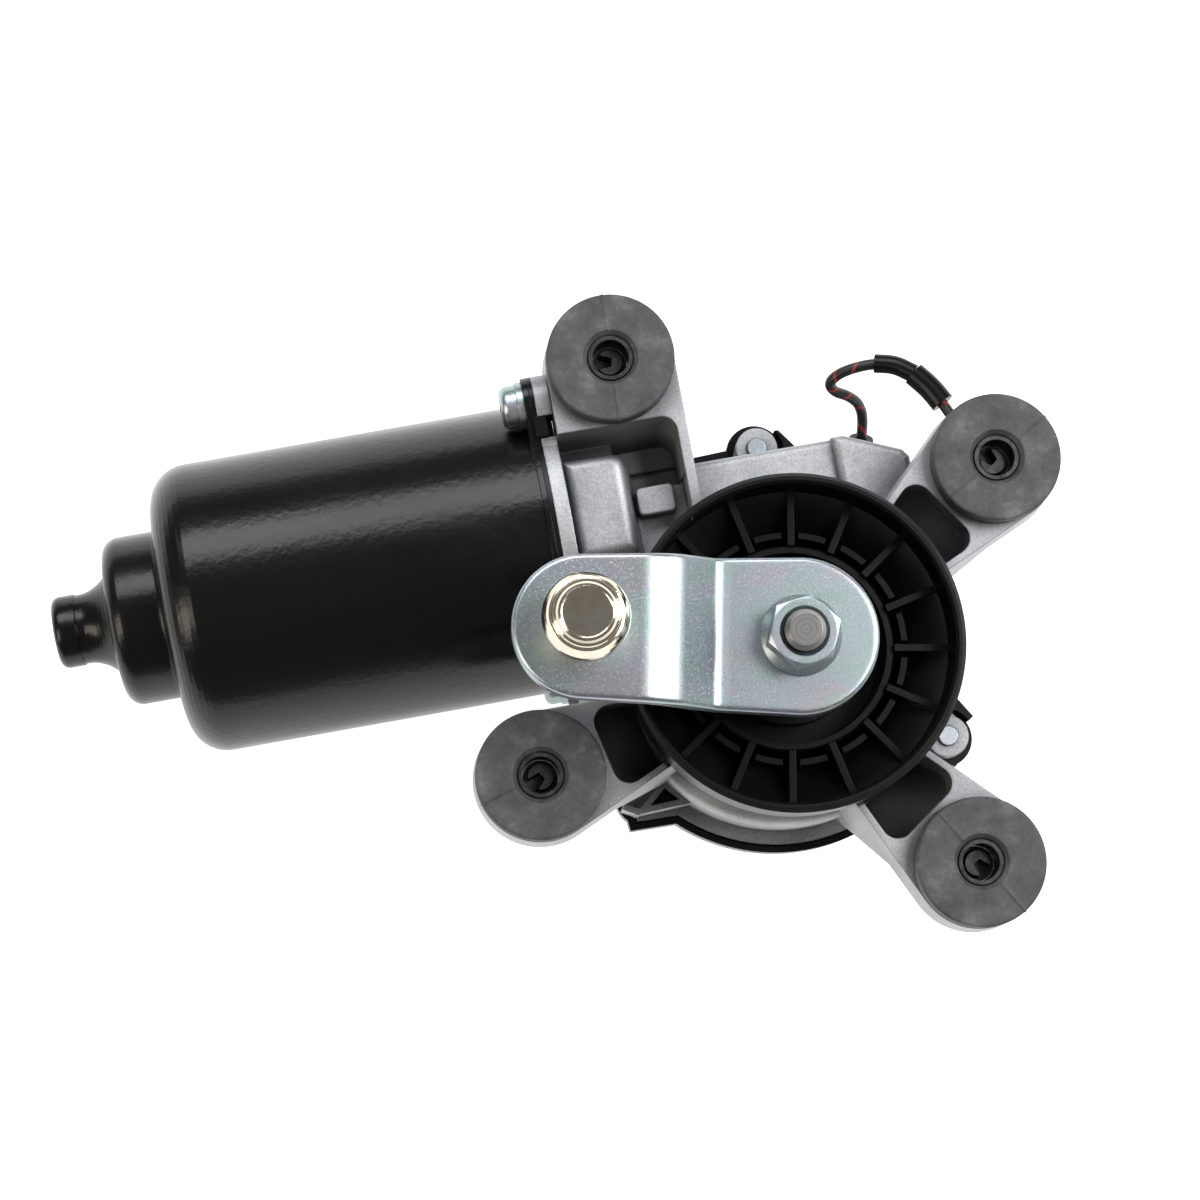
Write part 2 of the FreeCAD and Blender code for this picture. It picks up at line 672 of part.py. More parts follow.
def gear_housing():
    plate_x = housing_face_x()
    case = rod(case_r, joint_z, case_top_z)
    rim = [e for e in case.Edges if e.BoundBox.ZMin > case_top_z - 0.1]
    case = case.makeFillet(3.0, rim)
    step = tube(case_r - 3.2, shaft_boss_r + 3, case_top_z - 1.2, case_top_z + 1)
    case = case.cut(step)
    tunnel = box(-30.0, 20.0, 18.0, tunnel_edge_y, joint_z, -21.0)
    tunnel = tunnel.makeFillet(1.6, [e for e in tunnel.Edges if e.BoundBox.ZMin > -21.1
                                     and e.BoundBox.YMin > 40])
    end = [(17.6, 10.0), (block_end_x, 10.0), (block_end_x, 35.0), (31.0, 36.6), (20.0, tunnel_edge_y),
           (17.6, tunnel_edge_y)]
    end_block = prism(end, joint_z, -18.6)
    end_block = end_block.makeFillet(1.5, [e for e in end_block.Edges if e.BoundBox.ZMin > -18.7])
    boss = rod(shaft_boss_r, case_top_z - 2, shaft_boss_top)
    ribs = []
    for i in range(6):
        rib = side_prism([(0, case_top_z - 2), (cup_ring_r, case_top_z - 2), (shaft_boss_r, -17.5),
                          (0, -17.5)], -1.2, 1.2)
        rib.rotate(Vec(0, 0, 0), Vec(0, 0, 1), 60.0 * i + 20)
        ribs.append(rib)
    flange = flange_plate(plate_x, plate_x + plate_t, flange_r)
    ledge = rear_outline(0.0, joint_z, joint_z + ledge_t)
    lug_posts = [rod(lug_r, joint_z, lug_front_z, *c) for c in lugs[:2]]
    solids = [case, tunnel, end_block, boss, flange, ledge, brush_tower()] + ribs + lug_posts
    solids += north_arm() + web_walls()
    for centre, angle, taper, length in grommets[1:]:
        arm = arm_solid(centre, angle, taper, length)
        solids.append(arm.cut(arm_pocket(centre, angle, taper, length)))
    body = fused(solids)
    cuts = [
        cup_room().cut(rod(shaft_boss_r, -30, shaft_boss_top)),
        rod(cavity_r, joint_z - 1, cavity_top_z),
        rod_x(tunnel_r, brush_box[1] - 4.0, 27.0),
        rod_x(mouth_r, plate_x - 1, brush_box[1] - 3.5),
        rod(shaft_r + bush_wall, cavity_top_z - 1, shaft_boss_top + 1),
        rod_x(5.5, 20.0, block_end_x + 1),
        box(plate_x - 1, plate_x + plate_t + 0.01, *notch_box()),
    ]
    cuts += [eye_cut(g[0]) for g in grommets]
    cuts.append(seal_seat())
    cuts += [rod(lug_screw_r + fit_gap, joint_z - 1, lug_front_z + 1, *c) for c in lugs[:2]]
    cuts += [rod(lug_screw_r + fit_gap, joint_z - 1, joint_z + ledge_t - 0.6, *c) for c in lugs[2:]]
    cuts += [rod_x(2.05 + fit_gap, plate_x - 1, plate_x + plate_t - 0.1, y, z) for y, z in clamp_points()]
    return body.cut(Part.makeCompound(cuts)).Solids[0]


# ---- gear housing fittings ----------------------------------------------------------
def shaft_bushes():
    """Two sintered bushes in the shaft boss, apart so that grease stays between them."""
    outer, inner = shaft_r + bush_wall - fit_gap, shaft_r + fit_gap
    low = tube(outer, inner, cavity_top_z, cavity_top_z + 11.0)
    high = tube(outer, inner, shaft_boss_top - 13.0, shaft_boss_top - 3.2)
    return Part.makeCompound([low, high])


def shaft_seal():
    """Rubber ring in the mouth of the shaft boss."""
    z0, z1 = shaft_boss_top - 3.0, shaft_boss_top - 0.2
    return tube(shaft_r + bush_wall - fit_gap, shaft_r + fit_gap, z0, z1)


def tip_bush():
    return tube_x(tunnel_r - fit_gap, rotor_shaft_r + fit_gap, 14.0, 22.0)


def middle_bush():
    return tube_x(tunnel_r - fit_gap, rotor_shaft_r + fit_gap, -26.5, -15.0)


def thrust_plug():
    """Adjusting screw that bears on the worm's end through a hardened pad."""
    face = block_end_x - 8.0 + part_gap
    plug = rod_x(5.5 - fit_gap, face + 1.2, block_end_x - 1.2)
    pad = rod_x(3.2, face, face + 1.4)
    slot = box(block_end_x - 2.6, block_end_x, motor_y - 4.0, motor_y + 4.0, motor_z - 0.6, motor_z + 0.6)
    return plug.fuse(pad).cut(slot).removeSplitter()


def dust_cup():
    """Dished water shield round the shaft, with a stepped centre and radial ribs."""
    outer, wall = cup_r, cup_wall
    inner = outer - wall
    ring_out = cup_ring_r + 1.5
    well = -15.0
    hub_in = shaft_boss_r + fit_gap
    profile = [(outer, cup_rim_z - 0.7), (outer - 0.7, cup_rim_z), (inner + 0.6, cup_rim_z),
               (inner, cup_rim_z - 0.6), (inner, cup_floor_z), (ring_out, cup_floor_z - 5.5),
               (ring_out, cup_ring_z - 0.4), (ring_out - 0.4, cup_ring_z), (cup_ring_r, cup_ring_z),
               (cup_ring_r - 0.4, -13.0), (shaft_boss_r + 4.6, -13.0), (shaft_boss_r + 4.6, -6.6),
               (shaft_boss_r + 2.0, -6.6), (shaft_boss_r + 2.0, 2.5), (hub_in, 2.5), (hub_in, well),
               (ring_out, well), (ring_out, cup_floor_z - 7.4), (outer, cup_floor_z - 1.6)]
    body = spun_z(profile)
    steps = tube(ring_out + 2.6, ring_out + 1.4, well, cup_ring_z - 0.6)
    ribs, gaps = [], []
    for i in range(cup_ribs):
        rib = box(ring_out - 0.2, inner + 0.4, -0.65, 0.65, well, cup_floor_z + 1.1)
        ribs.append(turned(rib, 360.0 * i / cup_ribs + rib_turn))
        gap = box(0, outer, -1.6, 1.6, well - 1, 0)
        gaps.append(turned(gap, 360.0 * i / cup_ribs + rib_turn))
    ribs.append(steps.cut(Part.makeCompound(gaps)))
    above = spun_z([(0, 5.0), (outer, 5.0), (outer, cup_floor_z - 1.2), (ring_out, cup_floor_z - 7.0),
                    (0, cup_floor_z - 7.0)])
    inside = [rib.common(above) for rib in ribs]
    return body.multiFuse(inside).removeSplitter()


# ---- output shaft -------------------------------------------------------------------
def output_shaft():
    neck = stud_thread_r - 0.2
    taper_z = crank_under_z
    top = crank_under_z + crank_t
    profile = [(0, cavity_floor_z()), (shaft_r, cavity_floor_z()), (shaft_r, shaft_boss_top + 2.2),
               (shaft_r - 0.7, shaft_boss_top + 2.2), (shaft_r - 0.7, shaft_boss_top + 3.4),
               (shaft_r, shaft_boss_top + 3.4), (shaft_r, taper_z), (neck + 0.3, top), (neck, top),
               (neck, shaft_tip_z - 0.8), (neck - 0.8, shaft_tip_z), (0, shaft_tip_z)]
    shaft = spun_z(profile)
    grooves = []
    for i in range(24):
        groove = box(shaft_r - 0.35, shaft_r + 1, -0.25, 0.25, shaft_boss_top + 5.0, crank_under_z - 0.4)
        groove.rotate(Vec(0, 0, 0), Vec(0, 0, 1), 15.0 * i)
        grooves.append(groove)
    return shaft.cut(Part.makeCompound(grooves))


def cavity_floor_z():
    """Inner end of the output shaft, just clear of the rear cover."""
    return motor_z - wheel_width / 2 - 2.4


def thrust_washers():
    low = tube(9.0, shaft_r + fit_gap, motor_z + wheel_width / 2 + 0.05, cavity_top_z - 0.05)
    high = tube(8.4, shaft_r + fit_gap, shaft_boss_top + 0.3, shaft_boss_top + 2.1)
    return Part.makeCompound([low, high])


def retaining_ring():
    z0 = shaft_boss_top + 2.3
    ring = tube(7.6, shaft_r - 0.65, z0, z0 + 1.0)
    return ring.cut(box(-12, 0, -3.6, 3.6, z0 - 1, z0 + 2))


def worm_wheel():
    """Moulded wheel; its teeth lean by the worm's lead angle."""
    half = wheel_width / 2
    twist = (worm_lead / (2 * math.pi)) / worm_pitch_r / wheel_pitch_r
    tip, root = wheel_pitch_r + tooth_addendum, wheel_pitch_r - tooth_dedendum
    outlines = []
    for side in (-1, 1):
        z = motor_z + side * half
        points = []
        for i in range(wheel_teeth):
            mid = math.pi / 2 + 2 * math.pi * i / wheel_teeth + side * half * twist
            for r, w in ((root, -tooth_width / 2 - 0.42), (tip, -tooth_width / 2 + 0.29),
                         (tip, tooth_width / 2 - 0.29), (root, tooth_width / 2 + 0.42)):
                a = mid + w / r
                points.append((r * math.cos(a), r * math.sin(a), z))
        outlines.append(wire(points))
    gear = Part.makeLoft(outlines, True, True)
    top, bottom = motor_z + half, motor_z - half
    cuts = [rod(wheel_hub_r, bottom - 1, top + 1)]
    cuts.append(tube(root - 2.6, wheel_hub_r + 3.0, bottom + 3.4, top + 1))
    gear = gear.cut(Part.makeCompound(cuts))
    webs = []
    for i in range(6):
        web = box(wheel_hub_r + 2.0, root - 2.0, -0.9, 0.9, bottom + 1, top - 0.8)
        web.rotate(Vec(0, 0, 0), Vec(0, 0, 1), 60.0 * i)
        webs.append(web)
    return gear.fuse(webs).removeSplitter()


def wheel_hub():
    """Knurled steel hub, pressed on the shaft and moulded into the wheel."""
    half = wheel_width / 2
    return tube(wheel_hub_r, shaft_r + 0.01, motor_z - half, motor_z + half)


def park_plate():
    """Contact ring on the wheel's back, with a gap that marks the parked position."""
    z1 = motor_z - wheel_width / 2
    ring = tube(21.0, 10.0, z1 - 0.5, z1)
    gap = tube(21.5, 16.5, z1 - 1, z1 + 1).common(box(0, 30, -4, 4, z1 - 2, z1 + 2))
    gap.rotate(Vec(0, 0, 0), Vec(0, 0, 1), crank_angle)
    return ring.cut(gap)


# ---- crank --------------------------------------------------------------------------
def crank_side_profile():
    """Side outline of the joggled arm: (distance along the arm, z)."""
    z0, z1 = crank_under_z, crank_under_z + crank_t
    slope = math.atan2(crank_rise, joggle_run)
    half = math.tan(slope / 2)
    end_x = joggle_start + joggle_run
    outer_r, inner_r = 8.0, 3.0
    low_r = crank_t + 1.0
    top = [(-crank_hub_r - 1, z1), (joggle_start - 0.3, z1), (joggle_start + 0.3, z1 + 0.4)]
    deg = math.degrees(slope)
    cx = end_x + outer_r * half
    top += arc_points(cx, z1 + crank_rise - outer_r, outer_r, 90 + deg, 90, 8)
    top += [(crank_length + crank_eye_r + 1, z1 + crank_rise)]
    offset = crank_t * half
    under = [(crank_length + crank_eye_r + 1, z0 + crank_rise)]
    ux = end_x + offset + inner_r * half
    under += arc_points(ux, z0 + crank_rise - inner_r, inner_r, 90, 90 + deg, 5)
    lx = joggle_start + offset - low_r * half
    under += arc_points(lx, z0 + low_r, low_r, deg - 90, -90, 8)
    under += [(-crank_hub_r - 1, z0)]
    return top + under


def crank_arm():
    wide = crank_hub_r + 2
    face = Part.Face(wire([(u, -wide, z) for u, z in crank_side_profile()]))
    bar = face.extrude(Vec(0, 2 * wide, 0))
    plan = hull((0, 0), crank_hub_r, (crank_length, 0), crank_eye_r, crank_under_z - 2,
                crank_under_z + crank_t + crank_rise + 2)
    arm = bar.common(plan)
    bore = Part.makeCone(shaft_r + 0.03, stud_thread_r + 0.13, crank_t, Vec(0, 0, crank_under_z))
    arm = arm.cut(bore)
    arm = arm.cut(rod(stud_rivet_r + 0.01, crank_under_z, crank_under_z + crank_t + crank_rise + 1,
                      crank_length))
    return turned(arm, crank_angle)


def crank_nut():
    """Hexagon nut with a washer face."""
    z0 = crank_under_z + crank_t
    corner = nut_flats / math.sqrt(3)
    hexagon = [polar(corner, 60.0 * i + crank_angle + 18.75) for i in range(6)]
    body = prism(hexagon, z0, z0 + nut_h)
    crown = spun_z([(0, z0 - 1), (corner + 1, z0 - 1), (corner + 1, z0 + nut_h - 0.9),
                    (nut_flats / 2 - 0.1, z0 + nut_h), (0, z0 + nut_h)])
    body = body.common(crown)
    flange = spun_z([(0, z0), (nut_flange_r, z0), (nut_flange_r, z0 + 0.7), (nut_flats / 2, z0 + 2.0),
                     (0, z0 + 2.0)])
    bore = spun_z([(0, z0 - 1), (stud_thread_r - 0.15, z0 - 1), (stud_thread_r - 0.15, z0 + nut_h - 0.8),
                   (stud_thread_r + 0.7, z0 + nut_h + 0.1), (0, z0 + nut_h + 0.1)])
    return body.fuse(flange).cut(bore).removeSplitter()


def ball_stud():
    """Ball with a flat top, on a neck that is riveted through the arm's raised end."""
    face = crank_under_z + crank_t + crank_rise
    under = crank_under_z + crank_rise
    mid = face + ball_height
    neck = 4.6
    points = [(0, under - 1.6), (stud_rivet_r + 1.0, under - 1.6), (stud_rivet_r + 1.6, under - 0.1),
              (stud_rivet_r, under - 0.1), (stud_rivet_r, face), (6.2, face), (6.2, face + 2.2),
              (5.6, face + 2.8), (neck, face + 3.4)]
    start = math.degrees(math.asin(neck / ball_r)) - 90
    stop = math.degrees(math.acos(6.7 / ball_r))
    points += arc_points(0, mid, ball_r, start, stop, 14)
    points += [(6.3, mid + ball_r * math.sin(math.radians(stop)) + 0.1), (6.0, mid + 5.3), (5.5, mid + 5.6),
               (5.1, mid + 6.1), (4.6, mid + 6.4), (4.4, mid + 6.3), (0, mid + 6.3)]
    stud = spun_z(points)
    stud.translate(Vec(crank_length, 0, 0))
    return turned(stud, crank_angle)


# ---- rear cover ---------------------------------------------------------------------
def gear_cover():
    """Moulded cover with a skirt round the joint, a raised back and the connector socket."""
    back = joint_z - seal_t
    skirt_top = joint_z + 2.6
    skin = rear_outline(cover_skirt, back - cover_t, skirt_top)
    skin = skin.fuse([prism(tab, back - cover_t, skirt_top) for tab in cover_tabs])
    skin = skin.cut(rear_outline(part_gap, back, skirt_top + 1))
    for centre in lugs[:2]:
        skin = skin.cut(rod(lug_r + 1.6, back + 0.01, skirt_top + 1, *centre))
    dome_z = back - cover_depth
    dome = hull((-4.0, -2.0), 24.0, (0.0, 14.0), 20.0, dome_z, back - 0.5)
    dome = dome.makeFillet(2.5, [e for e in dome.Edges if e.BoundBox.ZMax < dome_z + 0.1])
    inside = hull((-4.0, -2.0), 24.0 - cover_t, (0.0, 14.0), 20.0 - cover_t, dome_z + cover_t, back + 1)
    sx, sy = socket_size
    cx, cy = socket_centre
    shroud = box(cx - sx / 2, cx + sx / 2, cy - sy / 2, cy + sy / 2, rest_z, dome_z + 2)
    shroud = shroud.makeFillet(2.0, [e for e in shroud.Edges if e.BoundBox.ZLength > 5])
    w = socket_wall
    mouth = box(cx - sx / 2 + w, cx + sx / 2 - w, cy - sy / 2 + w, cy + sy / 2 - w, rest_z - 1, dome_z - 0.6)
    key = box(cx - 1.5, cx + 1.5, cy - sy / 2 + w - 0.1, cy - sy / 2 + w + 1.2, rest_z + 1.0, dome_z)
    foot = hull((-16.0, 22.0), 3.2, (-16.0, 26.0), 3.2, rest_z, dome_z + 3)
    cover = skin.fuse([dome, shroud, foot]).cut(inside).cut(mouth).fuse(key)
    cover = cover.cut(rod_x(flange_r + 1.0, -60, housing_face_x() + plate_t + part_gap))
    cover = cover.cut(box(-60, -22.0, 8.0, 60, joint_z, skirt_top + 1)).cut(seal_seat())
    for centre in lugs:
        cover = cover.cut(rod(lug_screw_r + 0.1, -70, -30, *centre))
    for i in range(pin_count):
        x = cx - sx / 2 + sx * (i + 1) / (pin_count + 1)
        cover = cover.cut(box(x - 1.15, x + 1.15, cy - 0.5, cy + 0.5, -70, -40))
    return cover.removeSplitter()


def cover_seal():
    ring = rear_outline(-0.4, joint_z - seal_t, joint_z)
    inner = fused([rod(cavity_r + 0.6, joint_z - 2, joint_z + 1),
                   box(-20.0, 26.0, 14.0, tunnel_edge_y - 4.0, joint_z - 2, joint_z + 1)])
    ring = ring.cut(inner).cut(seal_seat())
    for centre in lugs:
        ring = ring.cut(rod(lug_screw_r + 0.15, joint_z - 3, joint_z + 1, *centre))
    return ring


def cover_screws():
    """Screws driven from behind; the first two show their tips in the front lugs."""
    screws = []
    head_z = joint_z - seal_t - cover_t
    for i, centre in enumerate(lugs):
        end = lug_front_z + 0.9 if i < 2 else joint_z + ledge_t - 0.8
        shank = rod(lug_screw_r, head_z, end, *centre)
        head = rod(3.4, head_z - 2.4, head_z, *centre)
        head = head.makeFillet(0.9, [e for e in head.Edges if e.BoundBox.ZMax < head_z - 2.3
                                     and e.BoundBox.XLength > 1])
        cross = fused([box(centre[0] - 1.9, centre[0] + 1.9, centre[1] - 0.4, centre[1] + 0.4,
                           head_z - 2.5, head_z - 1.1),
                       box(centre[0] - 0.4, centre[0] + 0.4, centre[1] - 1.9, centre[1] + 1.9,
                           head_z - 2.5, head_z - 1.1)])
        screws.append(shank.fuse(head).cut(cross).removeSplitter())
    return Part.makeCompound(screws)


def connector_pins():
    sx = socket_size[0]
    cx, cy = socket_centre
    back = joint_z - seal_t - cover_depth
    pins = []
    for i in range(pin_count):
        x = cx - sx / 2 + sx * (i + 1) / (pin_count + 1)
        pins.append(box(x - 1.1, x + 1.1, cy - 0.4, cy + 0.4, rest_z + 3.5, back + cover_t + 1.5))
    return Part.makeCompound(pins)


def park_contacts():
    """Three spring fingers on the cover's inside that feel the park plate."""
    floor = joint_z - seal_t - cover_depth + cover_t
    top = motor_z - wheel_width / 2 - 0.5 - part_gap
    fingers = []
    for i, reach in enumerate((11.6, 14.6, 18.6)):
        x = -reach
        y = -3.2 + 3.2 * i
        post = box(-21.4, -20.6, y - 1.0, y + 1.0, floor, top - 2.0)
        arm = Part.Face(wire([(-21.4, y - 1, top - 2.4), (x - 1.6, y - 1, top - 0.9), (x, y - 1, top),
                              (x + 1.2, y - 1, top - 0.8), (x + 1.2, y - 1, top - 1.2), (x, y - 1, top - 0.4),
                              (x - 1.6, y - 1, top - 1.3), (-21.4, y - 1, top - 2.8)]))
        fingers.append(post.fuse(arm.extrude(Vec(0, 2, 0))).removeSplitter())
    return Part.makeCompound(fingers)


# ---- rubber mounts ------------------------------------------------------------------
def mount_grommet(centre):
    """Spool-shaped rubber: a thick front disc, a waist through the eye and a back disc."""
    back = -(disc_t + eye_t)
    end = back - grommet_back_t
    bore = collar_r + 0.02
    profile = [(bore, -1.9), (bore + 0.75, -0.3), (bore + 1.05, 0.0), (grommet_r - 0.5, 0.0),
               (grommet_r - 0.1, -0.25), (grommet_r, -0.6), (grommet_r, -disc_t + 0.05),
               (eye_hole_r - 0.05, -disc_t + 0.05), (eye_hole_r - 0.05, back - 0.05),
               (grommet_back_r, back - 0.05), (grommet_back_r, end + 0.6), (grommet_back_r - 0.6, end),
               (bore, end)]
    return spun_z(profile, *centre)


def mount_collar(centre):
    """Rolled steel sleeve that stops the bolt from crushing the rubber."""
    return tube(collar_r, collar_bore_r, collar_end_z, -collar_sunk, *centre)


# ---- earth lead ---------------------------------------------------------------------
def tangent_path(points):
    """Straight runs joined by arcs that touch them, as large as the runs allow."""
    pts = [Vec(*p) for p in points]
    edges, at, radii = [], pts[0], []
    for a, b, c in zip(pts, pts[1:], pts[2:]):
        shorter = min((b - a).Length, (c - b).Length)
        u, v = (b - a).normalize(), (c - b).normalize()
        turn = u.getAngle(v)
        cut = 0.45 * shorter
        radii.append(cut / math.tan(turn / 2))
        start, end = b - u * cut, b + v * cut
        middle_dir = (v - u).normalize()
        middle = b + middle_dir * (radii[-1] / math.cos(turn / 2) - radii[-1])
        edges.append(Part.LineSegment(at, start).toShape())
        edges.append(Part.Arc(start, middle, end).toShape())
        at = end
    edges.append(Part.LineSegment(at, pts[-1]).toShape())
    return Part.Wire(edges), radii


def tube_along(points, radius):
    path, radii = tangent_path(points)
    first = (Vec(*points[1]) - Vec(*points[0])).normalize()
    ring = Part.Wire([Part.Circle(Vec(*points[0]), first, radius).toShape()])
    solid = path.makePipeShell([ring], True, True)
    print("lead: radii", [round(r, 1) for r in radii], "length", round(path.Length, 1),
          "volume ratio", round(solid.Volume / (math.pi * radius ** 2 * path.Length), 4))
    return solid


def earth_lead():
    return tube_along(lead_route, lead_r)


def seal_axis():
    start = Vec(*lead_route[0])
    return start, (Vec(*lead_route[1]) - start).normalize()


def wire_seal():
    """Rubber plug where the lead leaves the joint between housing and cover."""
    start, out = seal_axis()
    return Part.makeCone(seal_back_r, seal_front_r, seal_length, start - out * seal_length, out)


def seal_seat():
    """Tapered hole for the plug, shared by housing and cover."""
    start, out = seal_axis()
    return Part.makeCone(seal_back_r + fit_gap, seal_front_r + fit_gap, seal_length,
                         start - out * seal_length, out)


def lead_sleeves():
    """Two lengths of tubing over the lead before the terminal, the second one wider."""
    lead = tube_along(lead_route, lead_r)
    narrow = tube_along(lead_route[8:11], sleeve_r)
    wide = tube_along(lead_route[10:13], sleeve_r + 0.5)
    return Part.makeCompound([narrow.cut(lead), wide.cut(narrow).cut(lead)])


def earth_terminal():
    """Ring under the second collar, with a tail that is crimped round the lead's end."""
    centre = grommets[1][0]
    ring_z = collar_end_z
    end = Vec(*lead_route[-1])
    inward = (Vec(centre[0], centre[1], ring_z - terminal_t) - end).normalize()
    ring = rod(terminal_r, ring_z - terminal_t, ring_z, *centre)
    away = math.degrees(math.atan2(end.y - centre[1], end.x - centre[0]))
    tail = box(0, 8.5, -1.6, 1.6, ring_z - terminal_t, ring_z)
    tail.rotate(Vec(0, 0, 0), Vec(0, 0, 1), away)
    tail.translate(Vec(centre[0], centre[1], 0))
    crimp = Part.makeCylinder(lead_r + 0.5, 6.5, end, inward)
    terminal = ring.fuse([tail, crimp])
    return terminal.cut(rod(collar_bore_r + 0.2, ring_z - 2, ring_z + 1, *centre)).removeSplitter()


def build():
    parts = {
        "motor_casing": motor_casing, "magnets": magnets, "rear_bush": rear_bush,
        "bush_retainer": bush_retainer, "brush_holder": brush_holder, "brushes": brushes,
        "brush_springs": brush_springs, "flange_gasket": flange_gasket, "clamp_screws": clamp_screws,
        "armature_shaft": armature_shaft, "armature_core": armature_core,
        "armature_windings": armature_windings, "commutator": commutator,
        "gear_housing": gear_housing, "shaft_bushes": shaft_bushes, "shaft_seal": shaft_seal,
        "tip_bush": tip_bush, "middle_bush": middle_bush, "thrust_plug": thrust_plug,
        "dust_cup": dust_cup, "output_shaft": output_shaft, "thrust_washers": thrust_washers,
        "retaining_ring": retaining_ring, "worm_wheel": worm_wheel, "wheel_hub": wheel_hub,
        "park_plate": park_plate, "crank_arm": crank_arm, "crank_nut": crank_nut,
        "ball_stud": ball_stud, "gear_cover": gear_cover, "cover_seal": cover_seal,
        "cover_screws": cover_screws, "connector_pins": connector_pins, "park_contacts": park_contacts,
        "wire_seal": wire_seal, "earth_lead": earth_lead, "lead_sleeves": lead_sleeves,
        "earth_terminal": earth_terminal,
    }
    os.makedirs("parts", exist_ok=True)
    for name, make in parts.items():
        make().exportStep("parts/" + name + ".step")
        print("built", name)
    for number, grommet in enumerate(grommets, 1):
        mount_grommet(grommet[0]).exportStep("parts/mount_grommet_%d.step" % number)
        mount_collar(grommet[0]).exportStep("parts/mount_collar_%d.step" % number)


build()
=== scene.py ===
import json
import math

import bmesh
import bpy
import numpy as np
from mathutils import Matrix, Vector


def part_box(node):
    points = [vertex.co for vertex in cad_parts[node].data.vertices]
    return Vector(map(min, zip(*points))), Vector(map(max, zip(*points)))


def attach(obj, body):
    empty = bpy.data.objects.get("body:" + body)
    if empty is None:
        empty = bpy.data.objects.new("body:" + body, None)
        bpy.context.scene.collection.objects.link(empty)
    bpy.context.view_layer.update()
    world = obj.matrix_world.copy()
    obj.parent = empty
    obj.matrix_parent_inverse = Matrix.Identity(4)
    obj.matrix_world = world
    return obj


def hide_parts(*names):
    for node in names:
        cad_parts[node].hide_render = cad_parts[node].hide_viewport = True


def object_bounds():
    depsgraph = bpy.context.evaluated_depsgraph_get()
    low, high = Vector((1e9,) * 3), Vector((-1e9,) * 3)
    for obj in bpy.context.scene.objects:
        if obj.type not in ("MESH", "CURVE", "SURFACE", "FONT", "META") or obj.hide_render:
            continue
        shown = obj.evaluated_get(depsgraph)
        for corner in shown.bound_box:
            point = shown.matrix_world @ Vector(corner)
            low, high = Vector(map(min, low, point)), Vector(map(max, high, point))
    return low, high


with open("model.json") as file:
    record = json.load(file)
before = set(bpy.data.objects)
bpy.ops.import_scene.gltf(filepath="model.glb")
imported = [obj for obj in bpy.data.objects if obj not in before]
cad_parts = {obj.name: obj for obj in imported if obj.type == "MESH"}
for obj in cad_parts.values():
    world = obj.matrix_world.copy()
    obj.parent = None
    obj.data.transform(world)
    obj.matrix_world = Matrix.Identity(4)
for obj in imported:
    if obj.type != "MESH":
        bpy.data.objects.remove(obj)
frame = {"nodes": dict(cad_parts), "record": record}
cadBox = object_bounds()
mm = 0.001
floorHeight = cadBox[0][2]

# camera, floor and lamps
studio = {
    "cameraPlace": (-66.98, -57.27, 585.11),   # mm, in the part's own frame
    "cameraTilt": (7.505, -1.883, -10.4),      # degrees about x, y and z
    "lens": 93.83,
    "sensorWidth": 36,
    "clipStart": 0.01,
    "floorReach": 3.0,                         # metres from the middle to each side
    "floorColor": "#c8c8c8",
    "floorGlow": 0.88,                         # evens out the shadow, as on a lit table
    "worldStrength": 0.22,                     # dark room, so that black gloss stays black
    "softBoxes": [                             # name, place, size in metres, watts, colour
        ("rightBox", (0.66, 0.05, 0.76), (0.5, 0.8), 12.0, "#ffffff"),
        ("backBox", (-0.1, 0.78, 0.8), (0.9, 0.5), 9.0, "#f8faff"),
        ("leftBox", (-0.8, -0.15, 0.6), (0.35, 0.7), 4.5, "#fff4e4"),
    ],
}


def linear(hexColor):
    # sRGB hex to linear red, green, blue
    values = [int(hexColor[i:i + 2], 16) / 255 for i in (1, 3, 5)]
    return tuple(v / 12.92 if v <= 0.04045 else ((v + 0.055) / 1.055) ** 2.4 for v in values)


def rgba(hexColor):
    return (*linear(hexColor), 1.0)


def addNode(tree, kind, values=None, links=None, stops=None, **settings):
    # one node with its properties, the values of its inputs, what its inputs are joined to,
    # and the (place, hex) stops of its colours
    node = tree.nodes.new(kind)
    for name, value in settings.items():
        setattr(node, name, value)
    for name, value in (values or {}).items():
        node.inputs[name].default_value = value
    for name, (source, socket) in (links or {}).items():
        tree.links.new(source.outputs[socket], node.inputs[name])
    if stops:
        elements = node.color_ramp.elements
        while len(elements) < len(stops):
            elements.new(0.5)
        for element, (place, color) in zip(elements, stops):
            element.position = place
            element.color = rgba(color)
    return node


def startMaterial(name):
    # an empty material and its node tree
    material = bpy.data.materials.new(name)
    material.use_nodes = True
    material.node_tree.nodes.clear()
    return material, material.node_tree


def makeCamera():
    camera = bpy.data.objects.new("camera", bpy.data.cameras.new("camera"))
    camera.location = [v * mm for v in studio["cameraPlace"]]
    camera.rotation_euler = [math.radians(v) for v in studio["cameraTilt"]]
    camera.data.lens = studio["lens"]
    camera.data.sensor_width = studio["sensorWidth"]
    camera.data.clip_start = studio["clipStart"]
    bpy.context.scene.collection.objects.link(camera)
    bpy.context.scene.camera = camera


